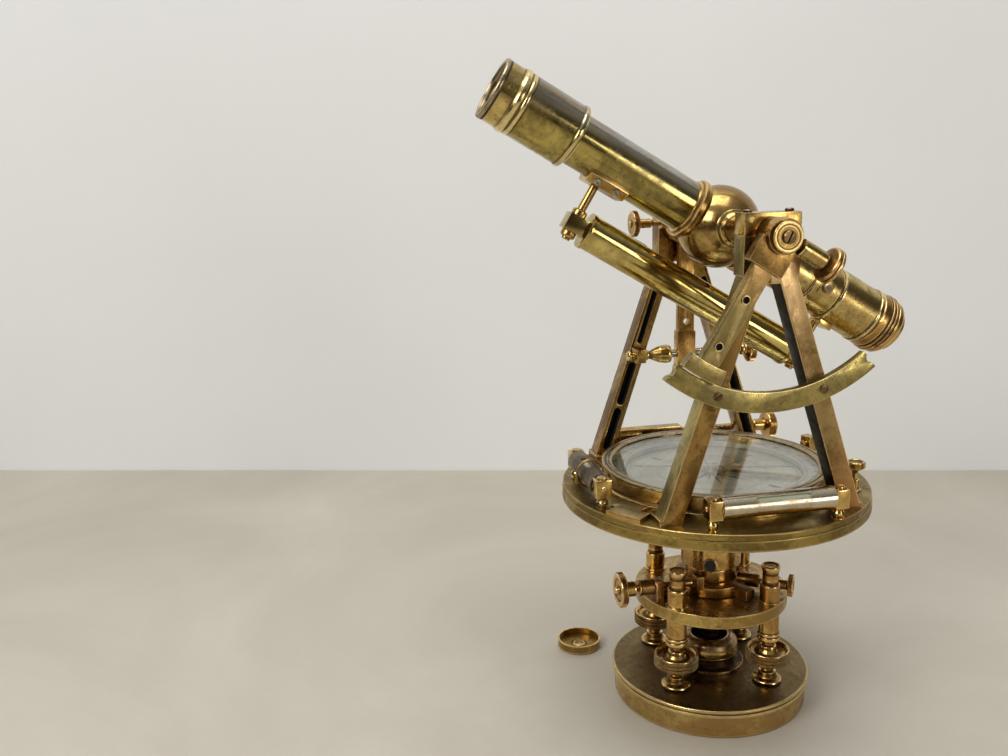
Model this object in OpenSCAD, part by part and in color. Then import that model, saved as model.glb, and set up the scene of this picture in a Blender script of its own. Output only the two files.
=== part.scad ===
// Surveyors transit: levelling head, limb, alidade with compass, standards and a telescope.
// Millimetres. +Z is up, z = 0 is the underside of the foot plate, X = Y = 0 is the vertical axis.
// The telescope's cross axis lies along X; its objective end points to +Y and up at rest.

/* [Levelling head] */

// Radius of the foot plate at its top flange
foot_r = 59; // [54:0.5:66]
// Radius of the foot plate's skirt
foot_skirt_r = 57.4; // [52:0.2:64]
// Height of the foot plate
foot_h = 18; // [16:0.5:24]
// Radius of the tripod thread in the foot plate
thread_r = 44.45; // [40:0.05:46]
// Depth of the tripod thread
thread_h = 11; // [8:0.5:12]
// Radius of the upper parallel plate
head_r = 45.2; // [45:0.2:50]
// Height of the upper parallel plate's underside
head_z = 61; // [60:0.5:66]
// Thickness of the upper parallel plate
head_t = 7.7; // [6:0.1:9]
// Radius of the circle that the levelling screws stand on
screw_ring = 38.8; // [38:0.2:42]
// Angle of the first levelling screw
screw_turn = 38.4; // [30:0.2:50]
// Radius of the levelling screws' shafts
screw_r = 3.4; // [3:0.1:4]
// Radius of the levelling screws' knurled discs
disc_r = 12.7; // [11:0.1:13.5]
// Radius of the half ball
ball_r = 13; // [12:0.2:14]
// Height of the half ball's centre
ball_z = 27; // [26.5:0.1:27.5]

/* [Centres and plates] */

// Radius of the limb and its rim
limb_r = 89; // [86:0.5:92]
// Height of the limb's underside
limb_z = 125.9; // [124:0.1:128]
// Thickness of the limb at its rim
limb_t = 6; // [5:0.1:7]
// Thickness of the vernier plate
plate_t = 3.4; // [3:0.1:4]
// Radius of the outer spindle
outer_r = 9; // [8:0.1:10]
// Radius of the inner spindle
inner_r = 5.5; // [5:0.1:6]
// Radius of the hub above the levelling head
hub_r = 14.9; // [14:0.1:16]
// Angle of the first vernier window
window_turn = 125; // [124:0.5:125.5]

/* [Compass] */

// Outside radius of the compass box
compass_r = 65; // [63:0.1:65.3]
// Height of the compass box above the vernier plate
compass_h = 12; // [11.5:0.1:14]
// Half length of the compass needle
needle_l = 47; // [40:0.5:49]

/* [Standards] */

// Height of the cross axis above the underside of the foot plate
axis_h = 283.5; // [281:0.5:292]
// Distance of each standard's outer face from the middle
std_x = 67; // [66.5:0.1:67.5]
// Thickness of the standards
std_t = 12; // [11:0.1:12.4]
// Half spread of the feet at their outer edges
foot_out = 56.5; // [55.5:0.1:57]
// Half spread of the feet at their inner edges
foot_in = 45.2; // [45:0.1:46]
// Half width of the bearing block at the top
block_w = 15.1; // [14.6:0.1:16]
// Radius of the journals
journal_r = 7; // [6.5:0.1:7.3]
// Radius of the cross axle between the standards
axle_r = 7.6; // [7.4:0.1:8.4]

/* [Telescope] */

// Elevation of the telescope as it stands
tel_angle = 31; // [28:0.5:34]
// Radius of the main tube
tube_r = 14.2; // [13.8:0.1:14.6]
// Radius of the hollow ball at the middle
hollow_r = 23; // [22:0.2:24]
// Radius of the objective barrel
barrel_r = 17.1; // [16.8:0.1:17.6]
// Distance from the cross axis to the objective end
tel_front = 148; // [146:0.5:152]
// Radius of the eyepiece section of the main tube
eye_r = 16.3; // [15.8:0.1:16.8]
// Distance from the cross axis to the eyepiece end
tel_back = 127; // [125:0.5:129]

/* [Telescope level] */

// Distance of the level tube below the telescope's line
lvl_drop = 39; // [38.5:0.1:41]
// Radius of the level tube
lvl_r = 9.8; // [9:0.1:10.2]
// Objective end of the level tube
lvl_front = 67; // [64:0.5:68]
// Eyepiece end of the level tube
lvl_back = -75; // [-76:0.5:-70]

/* [Vertical arc] */

// Outer radius of the arc
arc_out = 89.6; // [88:0.1:91]
// Width of the arc
arc_w = 10.6; // [10:0.1:11.5]
// Thickness of the arc
arc_t = 4.6; // [4:0.1:4.8]
// Half angle of the arc
arc_half = 39.5; // [36:0.5:42]
// Width of the index arm
arm_w = 11; // [10:0.2:12]

/* [Clamps and tangent screws] */

// Distance of the vertical clamp arm from the middle
clamp_x = 48; // [47.5:0.1:48.5]
// Height of the vertical tangent screw
tan_z = 202.5; // [202:0.1:203]
// Angle of the lower clamp's screw
clamp_turn = 236; // [235:0.5:240]
// Radius of the lower tangent screw's knob
low_knob_r = 10; // [9:0.2:10.5]
// Radius of the vertical tangent screw's knob
tan_knob_r = 8; // [7:0.2:8.4]

/* [Plate levels] */

// Radius of the plate level tubes
pl_r = 5.7; // [5.2:0.1:6]
// Height of the plate level tubes above the vernier plate
pl_z = 12; // [11.8:0.1:13]
// Distance of the front level from the middle
pl_front_x = 76.6; // [76.3:0.1:77]
// Distance of the side level from the middle
pl_side_y = 77; // [76.5:0.1:77.5]

/* [Loose eye cap] */

// Outside radius of the eye cap
cap_r = 14.2; // [14:0.1:15]
// Sideways place of the eye cap
cap_x = 68; // [66:0.5:72]

/* [Fits] */

// Radial clearance of parts that run in each other
run = 0.05; // [0.02:0.01:0.08]
// Gap between flat faces that turn on each other
face = 0.1; // [0.05:0.05:0.15]

/* [Hidden] */

brass = [0.72, 0.58, 0.30];
dark = [0.35, 0.25, 0.16];
steel = [0.62, 0.62, 0.60];
silver = [0.80, 0.79, 0.74];
clear = [0.80, 0.88, 0.90, 0.4];
head_top = head_z + head_t;
limb_top = limb_z + limb_t;
plate_z = limb_top + face;
plate_top = plate_z + plate_t;
compass_top = plate_top + compass_h;
std_in = std_x - std_t;
arc_x = std_x + arc_t;
arc_in = arc_out - arc_w;
arm_x = arc_x + 1;
arm_t = 5;
hub_x = 83.4;
block_low = axis_h - 20.5;
pl_h = plate_top + pl_z;
low_z = head_top + 9;
low_x = 14.5;
clamp_z = head_top + 5.8;
up_x = 74.5;
up_z = plate_top + 8.4;
front_y = -2.5;
tip_z = foot_h + 4.3;
shoe_rise = 0.95;
shoe_flat = 0.3;
window_in = limb_r - 12;
window_out = limb_r - 2;
post_r = limb_r - 10;
clamp_out = limb_r + 5;
foot_gap = 0.3;
side_x = -4;
pad_in = 5;

$fn = 64;

module rod(r, a, b) {
  translate([0, 0, a]) cylinder(r = r, h = b - a);
}

module rod_y(r, a, b) {
  translate([0, a, 0]) rotate([-90, 0, 0]) cylinder(r = r, h = b - a);
}

module rod_x(r, a, b) {
  translate([a, 0, 0]) rotate([0, 90, 0]) cylinder(r = r, h = b - a);
}

module box(a, b) {
  translate(a) cube(b - a);
}

module turned(points) {
  rotate_extrude() polygon(points);
}

module turned_y(points) {
  rotate([-90, 0, 0]) rotate_extrude() polygon(points);
}

module turned_x(points) {
  rotate([0, 90, 0]) rotate_extrude() polygon(points);
}

module sector(r1, r2, half, a, b) {
  translate([0, 0, a])
    rotate([0, 0, -half])
      rotate_extrude(angle = 2 * half)
        translate([r1, 0]) square([r2 - r1, b - a]);
}

module at_screw(i) {
  rotate([0, 0, screw_turn + 90 * i]) translate([screw_ring, 0, 0]) children();
}

module at_telescope() {
  translate([0, 0, axis_h]) rotate([tel_angle, 0, 0]) children();
}

module at_radial(angle, z) {
  rotate([0, 0, angle]) translate([0, 0, z]) children();
}

// Foot plate: a turned cup with the tripod thread inside its skirt
module foot_plate() {
  color(brass) turned([[thread_r, 0], [foot_skirt_r - 1, 0], [foot_skirt_r, 1], [foot_skirt_r, foot_h - 5],
    [foot_r - 0.4, foot_h - 5], [foot_r, foot_h - 4.6], [foot_r, foot_h - 2.9], [foot_r - 0.7, foot_h - 2.6],
    [foot_r - 0.7, foot_h - 2], [foot_r, foot_h - 1.7], [foot_r, foot_h - 0.5], [foot_r - 0.5, foot_h],
    [10, foot_h], [10, thread_h], [thread_r, thread_h]]);
}

// Dome that holds the half ball down on the foot plate
module ball_cup() {
  color(dark) difference() {
    turned([[9.6, foot_h], [21, foot_h], [21, foot_h + 2.2], [17.4, foot_h + 2.8], [17, foot_h + 8.6],
      [16.3, foot_h + 9], [16.3, foot_h + 9.6], [17.2, foot_h + 10], [17.4, foot_h + 12],
      [16.4, foot_h + 14.6], [14.4, foot_h + 17], [12.4, foot_h + 18.4], [9.6, foot_h + 18.4]]);
    translate([0, 0, ball_z]) sphere(r = ball_r + run);
    rod(sqrt(pow(ball_r + run, 2) - 62), ball_z + 7.8, foot_h + 19);
  }
}

// Half ball: a bowl between the dome and the ball end of the socket
module half_ball() {
  color(dark) difference() {
    translate([0, 0, ball_z]) sphere(r = ball_r);
    translate([0, 0, ball_z]) sphere(r = 9 + run);
    rod(ball_r + 1, ball_z + 5, ball_z + 20);
    rod(4, ball_z - 20, ball_z);
  }
}

// Socket of the spindles, with the ball end below it
module head_socket() {
  color(brass) difference() {
    union() {
      translate([0, 0, ball_z]) sphere(r = 9);
      rod(6.2, ball_z + 2, 39);
      turned([[0, 38], [6.2, 38], [7.4, 41], [12.6, 44], [13.5, 45.5], [13.5, head_top], [0, head_top]]);
    }
    rod(outer_r + run, 43.5, head_top + 1);
  }
}

// Upper parallel plate with the lug of the lower tangent screw
module head_plate() {
  color(brass) difference() {
    union() {
      turned([[13.5, head_z], [head_r - 0.3, head_z], [head_r, head_z + 0.4], [head_r, head_top - 0.3],
        [head_r - 0.2, head_top], [13.5, head_top]]);
      box([-low_x - 4, 36.5, head_top - 1], [-low_x + 4, 40.5, low_z + 4.2]);
      translate([-low_x, 0, low_z]) rod_y(4.9, 40, 51);
    }
    for (i = [0:3]) at_screw(i) rod(5.8, head_z - 1, head_top + 1);
    translate([-low_x, 0, low_z]) rod_y(2 + run, 36, 52);
  }
}

// Sleeves that the levelling screws run in, with their dust caps
module screw_sleeves() {
  color(brass) for (i = [0:3]) at_screw(i) difference() {
    turned([[0, 44.5], [6.1, 44.5], [6.5, 45], [6.5, 49.3], [6, 49.6], [5.8, 50], [5.8, 79], [5.4, 79.6],
      [4.6, 79.8], [4.6, 86], [4.9, 86.4], [5, 90.4], [4.6, 91], [0, 91]]);
    rod(screw_r + run, 44, 88);
  }
}

// Levelling screw: ball end, flanged disc and plain shaft
module levelling_screw(i) {
  color(brass) at_screw(i) union() {
    translate([0, 0, tip_z]) sphere(r = 3.5);
    turned([[0, tip_z], [2.5, tip_z], [2.5, foot_h + 7.2], [4, foot_h + 7.6], [4, foot_h + 11],
      [8, foot_h + 11.8], [disc_r - 0.9, foot_h + 13.4], [disc_r, foot_h + 13.9], [disc_r, foot_h + 15.2],
      [disc_r - 0.9, foot_h + 15.5], [disc_r - 0.9, foot_h + 15.8], [disc_r, foot_h + 16.1],
      [disc_r, foot_h + 17.5], [disc_r - 0.9, foot_h + 17.8], [disc_r - 0.9, foot_h + 18.1],
      [disc_r, foot_h + 18.4], [disc_r, foot_h + 20.2], [disc_r - 0.5, foot_h + 20.7],
      [disc_r - 1.3, foot_h + 20.7], [disc_r - 2.4, foot_h + 19], [7.6, foot_h + 18.2], [6.4, foot_h + 19],
      [4.9, foot_h + 21.2], [4.6, foot_h + 22.8], [screw_r, foot_h + 23.4], [screw_r, 77.4], [screw_r - 0.6, 78],
      [0, 78]]);
  }
}

module levelling_screw_a() { levelling_screw(0); }
module levelling_screw_b() { levelling_screw(1); }
module levelling_screw_c() { levelling_screw(2); }
module levelling_screw_d() { levelling_screw(3); }

// Shoe under a levelling screw, rounded underneath so that it can rock
module shoe(i) {
  color(brass) at_screw(i) difference() {
    turned([[0, foot_h], [shoe_flat, foot_h], [8.4, foot_h + shoe_rise], [8.6, foot_h + 1.2], [8.2, foot_h + 2],
      [5.6, foot_h + 3], [5, foot_h + 4], [5, foot_h + 6.6], [0, foot_h + 6.6]]);
    translate([0, 0, tip_z]) sphere(r = 3.5 + run);
    rod(2.65, tip_z, foot_h + 7);
  }
}

module shoe_a() { shoe(0); }
module shoe_b() { shoe(1); }
module shoe_c() { shoe(2); }
module shoe_d() { shoe(3); }

// Lower clamp: a collar round the hub with its screw boss and tangent lug
module lower_clamp() {
  color(brass) difference() {
    union() {
      rod(22.5, head_top + 0.5, head_top + 6.5);
      at_radial(205, head_top + 0.5) box([16, -3.6, 0], [31, 3.6, 6]);
      box([-low_x - 4, 11.6, head_top + 5], [-low_x + 4, 16, low_z + 4]);
      box([-low_x + 1.5, 18, head_top + 0.5], [-low_x + 10.5, 35, head_top + 5.5]);
      at_radial(clamp_turn, clamp_z) rod_x(4, 16, 29);
    }
    rod(hub_r + 0.1, head_top, low_z + 6);
    at_radial(clamp_turn, clamp_z) rod_x(1.6 + run, 12, 30);
  }
}

// Screw that closes the lower clamp
module lower_clamp_screw() {
  color(brass) at_radial(clamp_turn, clamp_z) turned_x([[0, 15.4], [1.6, 15.4], [1.6, 38], [2.8, 39],
    [2.8, 45.4], [5.9, 45.6], [6.3, 46], [6.3, 48.4], [5.9, 48.8], [0, 48.8]]);
}

// Screw that turns the lower clamp by small amounts, clear of the lug by the lug's travel
module lower_tangent_screw() {
  color(brass) translate([-low_x, 0, low_z]) turned_y([[0, 16.75], [1.4, 16.75], [2, 18], [2, 52],
    [4.4, 53], [4.4, 58.4], [low_knob_r - 0.6, 59], [low_knob_r, 59.6],
    [low_knob_r, 62.6], [low_knob_r - 0.6, 63.2], [2.2, 63.2], [1.8, 64.6], [0, 64.6]]);
}

// Outer spindle: carries the limb and turns in the levelling head
module outer_spindle() {
  color(brass) difference() {
    turned([[0, 44], [outer_r - 1, 44], [outer_r, 45], [outer_r, head_top + face], [hub_r, head_top + face],
      [hub_r, 83.4], [hub_r - 0.6, 83.8], [hub_r - 0.6, 84.4], [hub_r - 1.3, 84.8], [hub_r - 1.3, 96],
      [16, 104], [24, 114], [30, 121], [32, 124], [32, limb_z + 2.5], [14, limb_z + 2.5],
      [14, limb_top], [0, limb_top]]);
    rod(inner_r + run, 57, limb_top + 1);
    at_radial(156, 85.4) rod_x(3.2, 0, 18);
  }
}

// Limb: the lower plate, read through the windows
module limb() {
  color(brass) turned([[14, limb_z + 2.5], [70, limb_z + 2.5], [73, limb_z], [limb_r - 0.5, limb_z],
    [limb_r, limb_z + 0.5], [limb_r, limb_z + 2.6], [limb_r - 0.4, limb_z + 2.9], [limb_r, limb_z + 3.2],
    [limb_r, limb_top], [14, limb_top]]);
}

// Vernier plate with the inner spindle
module vernier_plate() {
  color(brass) difference() {
    union() {
      turned([[0, plate_z], [limb_r - 0.4, plate_z], [limb_r - 0.4, plate_top - 0.4],
        [limb_r - 0.8, plate_top], [0, plate_top]]);
      rod(16, plate_top - 1, plate_top + 1.8);
      turned([[0, 58], [inner_r - 1, 58], [inner_r, 59], [inner_r, plate_z + 1], [0, plate_z + 1]]);
    }
    for (k = [0, 180]) rotate([0, 0, window_turn + k])
      sector(window_in, window_out, 6, plate_z - 1, plate_top + 1);
  }
}

// Silvered verniers in the windows
module vernier_scales() {
  color(silver) for (k = [0, 180]) rotate([0, 0, window_turn + k])
    sector(window_in, window_in + 5, 5.8, plate_z + 0.1, plate_z + 1.5);
}

// Stepped covers of the verniers, with their reading slots
module window_frames() {
  color(brass) for (k = [0, 180]) rotate([0, 0, window_turn + k]) difference() {
    union() {
      rotate([0, 0, -4.7]) sector(67.8, post_r, 6.6, plate_top, plate_top + 1.8);
      sector(window_in - 0.2, limb_r - 0.8, 7.3, plate_top, plate_top + 2.8);
    }
    sector(window_in + 1.5, window_out - 1, 5.2, plate_top - 1, plate_top + 4);
  }
}

// Wall of the compass box
module compass_box() {
  color(brass) turned([[60.3, plate_top], [67, plate_top], [67, plate_top + 2.4], [compass_r + 0.4, plate_top + 2.7],
    [compass_r, plate_top + 3.2], [compass_r, compass_top - 1.4], [61.6, compass_top - 1.4],
    [61.6, compass_top - 3.2], [60.3, compass_top - 3.2]]);
}

// Silvered dial plate, raised ring and the needle's pivot
module compass_dial() {
  color(silver) turned([[16.4, plate_top + 0.1], [60.3, plate_top + 0.1], [60.3, plate_top + 6.6],
    [51.6, plate_top + 6.6], [51.6, plate_top + 2.9], [3, plate_top + 2.9], [2.6, plate_top + 3.6],
    [0.9, plate_top + 4], [0.7, plate_top + 6.2], [0.15, plate_top + 7], [0, plate_top + 7],
    [0, plate_top + 1.9], [16.4, plate_top + 1.9]]);
}

// Ring that holds the glass down
module bezel() {
  color(brass) turned([[59.4, compass_top - 1.2], [compass_r + 0.3, compass_top - 1.4],
    [compass_r + 0.4, compass_top - 0.5], [compass_r - 0.2, compass_top], [61, compass_top],
    [59.4, compass_top - 0.8]]);
}

module compass_glass() {
  color(clear) rod(61.4, compass_top - 3.1, compass_top - 1.4);
}

// Compass needle with its jewelled cap
module needle() {
  color(steel) difference() {
    union() {
      for (s = [0, 180]) rotate([0, 0, 74 + s]) translate([0, 0, plate_top + 6.1])
        linear_extrude(0.7) polygon([[0, -1.5], [needle_l, -0.5], [needle_l, 0.5], [0, 1.5]]);
      rod(3.2, plate_top + 5.6, plate_top + 7.6);
    }
    turned([[0, plate_top + 5], [1.5, plate_top + 5], [1.2, plate_top + 6.3], [0.25, plate_top + 7.1],
      [0, plate_top + 7.1]]);
  }
}

// Ring and lever that lift the needle off its pivot
module needle_lifter() {
  color(brass) difference() {
    union() {
      rod(4.2, plate_top + 4.2, plate_top + 5.2);
      rotate([0, 0, 239.5]) box([3, -1.4, plate_top + 4.2], [51, 1.4, plate_top + 5.2]);
      rotate([0, 0, 239.5]) translate([48, 0, 0]) rod(1.4, plate_top + 2.95, plate_top + 4.4);
    }
    rod(1.7, plate_top + 3, plate_top + 6);
  }
}

// Milled head that works the needle lifter
module lifter_screw() {
  color(brass) rotate([0, 0, 239.5]) translate([post_r, 0, 0]) turned([[0, plate_top + 1.4], [1.5, plate_top + 1.4],
    [1.5, plate_top + 12.4], [4.2, plate_top + 12.8], [4.6, plate_top + 13.1], [4.6, plate_top + 14.4],
    [4.1, plate_top + 14.7], [4.1, plate_top + 15], [4.6, plate_top + 15.3], [4.6, plate_top + 17],
    [4.1, plate_top + 17.4], [0, plate_top + 17.4]]);
}

// Small posts and lugs that stand on the vernier plate
module brackets() {
  color(brass) {
    rotate([0, 0, 239.5]) translate([post_r, 0, 0]) difference() {
      turned([[0, plate_top], [3.6, plate_top], [3.6, plate_top + 1], [2.6, plate_top + 1.6],
        [2.6, plate_top + 7], [0, plate_top + 7]]);
      rod(1.5 + run, plate_top + 1.2, plate_top + 8);
    }
    difference() {
      union() {
        box([up_x - 4, -31, plate_top], [up_x + 4, -24, up_z + 4.6]);
        box([up_x - 4, -36, plate_top], [up_x + 4, -19, plate_top + 2]);
      }
      translate([up_x, 0, up_z]) rod_y(2.5 + run, -32, -23);
    }
    at_radial(285, 0) difference() {
      box([71, -4, plate_top], [76.5, 4, plate_top + 15.6]);
      translate([0, 0, plate_top + 11]) rod_x(2 + run, 70, 78);
    }
  }
}

// Upper clamp: grips the rim of both plates
module upper_clamp() {
  color(brass) difference() {
    union() {
      box([up_x - 4, -8, plate_top + 0.3], [up_x + 4, 34, up_z + 4.4]);
      box([up_x + 3, 2, plate_top + 0.3], [clamp_out, 18, plate_top + 6]);
      box([limb_r + 0.5, 2, limb_z - 5], [clamp_out, 18, plate_top + 1]);
      box([limb_r - 10, 2, limb_z - 5], [clamp_out, 18, limb_z - 0.4]);
      translate([up_x, 0, up_z]) rod_y(5, 20, 44);
    }
    translate([up_x, 0, up_z]) rod_y(3.3, -9, 10);
  }
}

// Screw that draws the plate clamp tight
module upper_clamp_screw() {
  color(brass) at_radial(285, plate_top + 11) turned_x([[0, 68.6], [2, 68.6], [2, 79], [3.4, 79.6], [3.4, 82],
    [7.1, 82.4], [7.6, 83], [7.6, 85.6], [7.1, 86.2], [0, 86.2]]);
}

// Screw that turns the alidade by small amounts
module upper_tangent_screw() {
  color(brass) translate([up_x, 0, up_z]) mirror([0, 1, 0]) turned_y([[0, 2], [2.4, 2], [2.4, 12], [2.5, 12.4],
    [2.5, 58], [4, 60], [4, 68], [7.5, 68.6], [8, 69.2], [8, 73.4], [7.5, 74], [3, 74], [2.6, 75.6], [0, 75.6]]);
}

module level_tube(r, l) {
  difference() {
    rod_y(r, -l / 2, l / 2);
    rod_y(r - 0.8, -l / 2 - 1, l / 2 + 1);
    box([-2.6, -l * 0.3, 0], [2.6, l * 0.3, r + 1]);
    for (s = [-1, 1]) translate([0, s * l * 0.3, 0]) rod(2.6, 0, r + 1);
  }
}

module at_front_level() {
  translate([-pl_front_x, front_y, pl_h]) children();
}

module at_side_level() {
  translate([side_x, pl_side_y, pl_h]) rotate([0, 0, 90]) children();
}

// Tubes of the two plate levels
module plate_levels() {
  color(brass) {
    at_front_level() level_tube(pl_r, 62);
    at_side_level() level_tube(pl_r, 46);
  }
}

// End blocks of the plate levels on their studs and capstan nuts
module level_post(l, s) {
  translate([0, s * l / 2, 0]) {
    mirror([0, s < 0 ? 1 : 0, 0]) {
      box([-4.6, 0, -5.4], [4.6, 7.4, 4.8]);
      rod_y(pl_r - 0.85, -2.4, 0.4);
      translate([0, 3.8, 0]) {
        rod(1.9, -pl_z, -5);
        translate([0, 0, -pl_z + 3.4]) sphere(r = 3.1);
        rod(3.4, -pl_z, -pl_z + 0.8);
        rod(2.9, 4, 6);
      }
    }
  }
}

module level_posts() {
  color(brass) {
    for (s = [-1, 1]) {
      at_front_level() level_post(62, s);
      at_side_level() level_post(46, s);
    }
  }
}

// Glass vials inside the plate levels
module plate_vials() {
  color(clear) {
    at_front_level() rod_y(pl_r - 1, -28, 28);
    at_side_level() rod_y(pl_r - 1, -20, 20);
  }
}

function leg_out(z) = foot_out - (z - plate_top) * (foot_out - block_w + 1.2) / (block_low - plate_top);
function leg_in(z) = foot_in - (z - plate_top) * (foot_in - 6) / (block_low - plate_top);

// One A-frame: outline in the Y-Z plane, feet, pockets and the lower half of the bearing
module standard() {
  difference() {
    union() {
      for (s = [-1, 1])
        translate([-std_x, 0, 0]) rotate([90, 0, 90]) linear_extrude(std_t)
          polygon([[s * foot_out, plate_top], [s * foot_in, plate_top], [s * 5, block_low - 4],
            [s * 5, block_low + 1], [s * block_w, block_low + 1], [s * (block_w - 1.2), block_low]]);
      for (s = [-1, 1])
        box([-std_x, s > 0 ? foot_in : -foot_out - 0.6, plate_top],
          [-std_in + pad_in, s > 0 ? foot_out + 0.6 : -foot_in, plate_top + 3.6]);
      box([-std_x, -block_w, block_low], [-std_in, block_w, axis_h]);
      box([-std_x, -5.2, block_low - 4], [-std_in, 5.2, block_low + 1]);
    }
    translate([0, 0, axis_h]) rod_x(journal_r + run, -std_x - 1, -std_in + 1);
    for (s = [-1, 1])
      for (p = [[plate_top + 8, plate_top + 30], [plate_top + 37, plate_top + 59], [plate_top + 75, plate_top + 112]])
        pocket(s, p[0], p[1]);
  }
}

// A round-ended pocket that follows a leg's slope
module pocket(s, z0, z1) {
  y0 = s * (leg_out(z0) + leg_in(z0)) / 2;
  y1 = s * (leg_out(z1) + leg_in(z1)) / 2;
  w = z1 > plate_top + 100 ? 1.7 : 2.6;
  a = atan2(y1 - y0, z1 - z0);
  translate([0, y0, z0]) rotate([-a, 0, 0]) {
    l = norm([y1 - y0, z1 - z0]);
    box([-std_in - 8, -w, 0], [-std_in + 1, w, l]);
    rod_x(w, -std_in - 8, -std_in + 1);
    translate([0, 0, l]) rod_x(w, -std_in - 8, -std_in + 1);
  }
}

module standard_near() {
  color(brass) standard();
}

module standard_far() {
  color(brass) difference() {
    union() {
      mirror([1, 0, 0]) standard();
      for (s = [-1, 1])
        box([clamp_x - 4.5, s > 0 ? 26.4 : -32.4, tan_z - 4.2], [std_in + 1, s > 0 ? 32.4 : -26.4, tan_z + 4.2]);
    }
    translate([clamp_x, 0, tan_z]) rod_y(2.5 + run, -34, -25);
    translate([clamp_x, 0, tan_z]) rod_y(2.4 + run, 25, 34);
  }
}

// Caps over the bearings
module bearing_caps() {
  color(brass) for (k = [0, 1]) mirror([k, 0, 0]) difference() {
    box([-std_x, -block_w, axis_h], [-std_in, block_w, axis_h + 11]);
    translate([0, 0, axis_h]) rod_x(journal_r + run, -std_x - 1, -std_in + 1);
  }
}

// Screw heads of the bearing caps and of the arc
module small_screws() {
  color(steel) {
    for (x = [-1, 1]) for (y = [-1, 1])
      translate([x * (std_x - std_t / 2), y * 11.2, 0]) rod(2.3, axis_h + 11, axis_h + 12.4);
    for (s = [-1, 1]) translate([0, 0, axis_h]) rotate([s * 20, 0, 0])
      translate([0, 0, -arc_in - arc_w / 2]) rod_x(2.6, -arc_x - 0.5, -arc_x);
    for (x = [-1, 1]) for (y = [-1, 1])
      translate([x * (std_in - pad_in / 2), y * 50.5, plate_top + 3.6]) rod(1.9, 0, 0.9);
  }
}

// Graduated arc on the near standard
module vertical_arc() {
  color(brass) translate([0, 0, axis_h]) difference() {
    rotate([0, 90, 0]) translate([0, 0, -arc_x]) sector(arc_in, arc_out, arc_half, 0, arc_t);
    for (s = [-1, 1]) rotate([s * (arc_half + 1.2), 0, 0])
      translate([0, 0, -arc_in - arc_w / 2]) rod_x(3.4, -arc_x - 1, -std_x + 1);
  }
}

// Spring housing held by the far standard's lug
module spring_box() {
  color(brass) translate([clamp_x, 0, tan_z]) turned_y([[3.7, 10.2], [5.6, 10.2], [5.8, 12], [5.2, 17],
    [3.6, 20.4], [2.6, 22.4], [2.6, 24], [3.3, 24.4], [3.3, 26.4], [2.4, 26.4], [2.4, 35], [3.2, 35.3],
    [3.2, 36.6], [0, 36.6], [0, 21.4], [3.7, 19]]);
}

// Plunger that the spring holds against the clamp arm
module plunger() {
  color(steel) translate([clamp_x, 0, tan_z]) turned_y([[0, 5.9], [2.4, 5.9], [2.4, 9], [1.9, 9.4],
    [1.9, 12.9], [3.6, 12.9], [3.6, 15.2], [0, 15.2]]);
}

// Clamp arm of the vertical motion, hanging from the axle
module clamp_arm() {
  color(brass) difference() {
    union() {
      translate([0, 0, axis_h]) rod_x(13.6, clamp_x - 3.8, clamp_x + 3.8);
      translate([clamp_x, 0, axis_h]) rod_y(3.6, 8, 17);
      box([clamp_x - 2.8, -5, 214], [clamp_x + 2.8, 5, axis_h - 10]);
      box([clamp_x - 3.8, -5.7, 194], [clamp_x + 3.8, 5.7, 216.6]);
    }
    translate([0, 0, axis_h]) rod_x(axle_r + run, clamp_x - 5, clamp_x + 5);
    translate([0, 0, 222.6]) rod_x(1.9, clamp_x - 5, clamp_x + 5);
    translate([clamp_x, 0, axis_h]) rod_y(1.6 + run, 6, 18);
  }
}

// Screw that clamps the vertical motion
module vertical_clamp_screw() {
  color(brass) translate([clamp_x, 0, axis_h]) turned_y([[0, 8.9], [1.6, 8.9], [1.6, 22], [2.8, 23], [2.8, 31],
    [7.2, 31.4], [7.6, 32], [7.6, 34.6], [7.2, 35.2], [2, 35.2], [1.6, 36.4], [0, 36.4]]);
}

// Button between the vertical tangent screw and the clamp arm
module tangent_tip() {
  color(steel) translate([clamp_x, 0, tan_z]) mirror([0, 1, 0]) turned_y([[0, 5.9], [2, 5.9], [2.4, 6.3],
    [2.4, 9.4], [0, 9.4]]);
}

// Vertical tangent screw
module tangent_screw() {
  color(dark) translate([clamp_x, 0, tan_z]) mirror([0, 1, 0]) turned_y([[0, 9.5], [2.5, 9.5], [2.5, 37.2],
    [3.6, 37.4], [3.6, 39], [3, 39.4], [3.6, 39.8], [3.6, 41], [tan_knob_r - 0.6, 41.4], [tan_knob_r, 42],
    [tan_knob_r, 45.2], [tan_knob_r - 0.6, 45.8], [2.4, 45.8], [2, 47.4], [0, 47.4]]);
}

// Cross axle with the hollow ball that holds the telescope
module axle() {
  color(brass) difference() {
    union() {
      translate([0, 0, axis_h]) {
        difference() {
          sphere(r = hollow_r);
          sphere(r = hollow_r - 2.6);
        }
        for (k = [0, 1]) mirror([k, 0, 0]) {
          turned_x([[0, 20.8], [10.6, 20.8], [9.2, 24], [axle_r, 26], [axle_r, std_in - 0.3], [journal_r, std_in - 0.3],
            [journal_r, std_x + 0.3], [0, std_x + 0.3]]);
        }
        rod_x(5.8, -hub_x + 1.4, -std_x);
      }
      at_telescope() for (s = [0, 1]) mirror([0, s, 0])
        turned_y([[tube_r, 17.8], [16.8, 17.8], [17.6, 20], [17.6, 23.2], [16.6, 24], [tube_r, 24]]);
    }
    at_telescope() rod_y(tube_r, -30, 30);
  }
}

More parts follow.
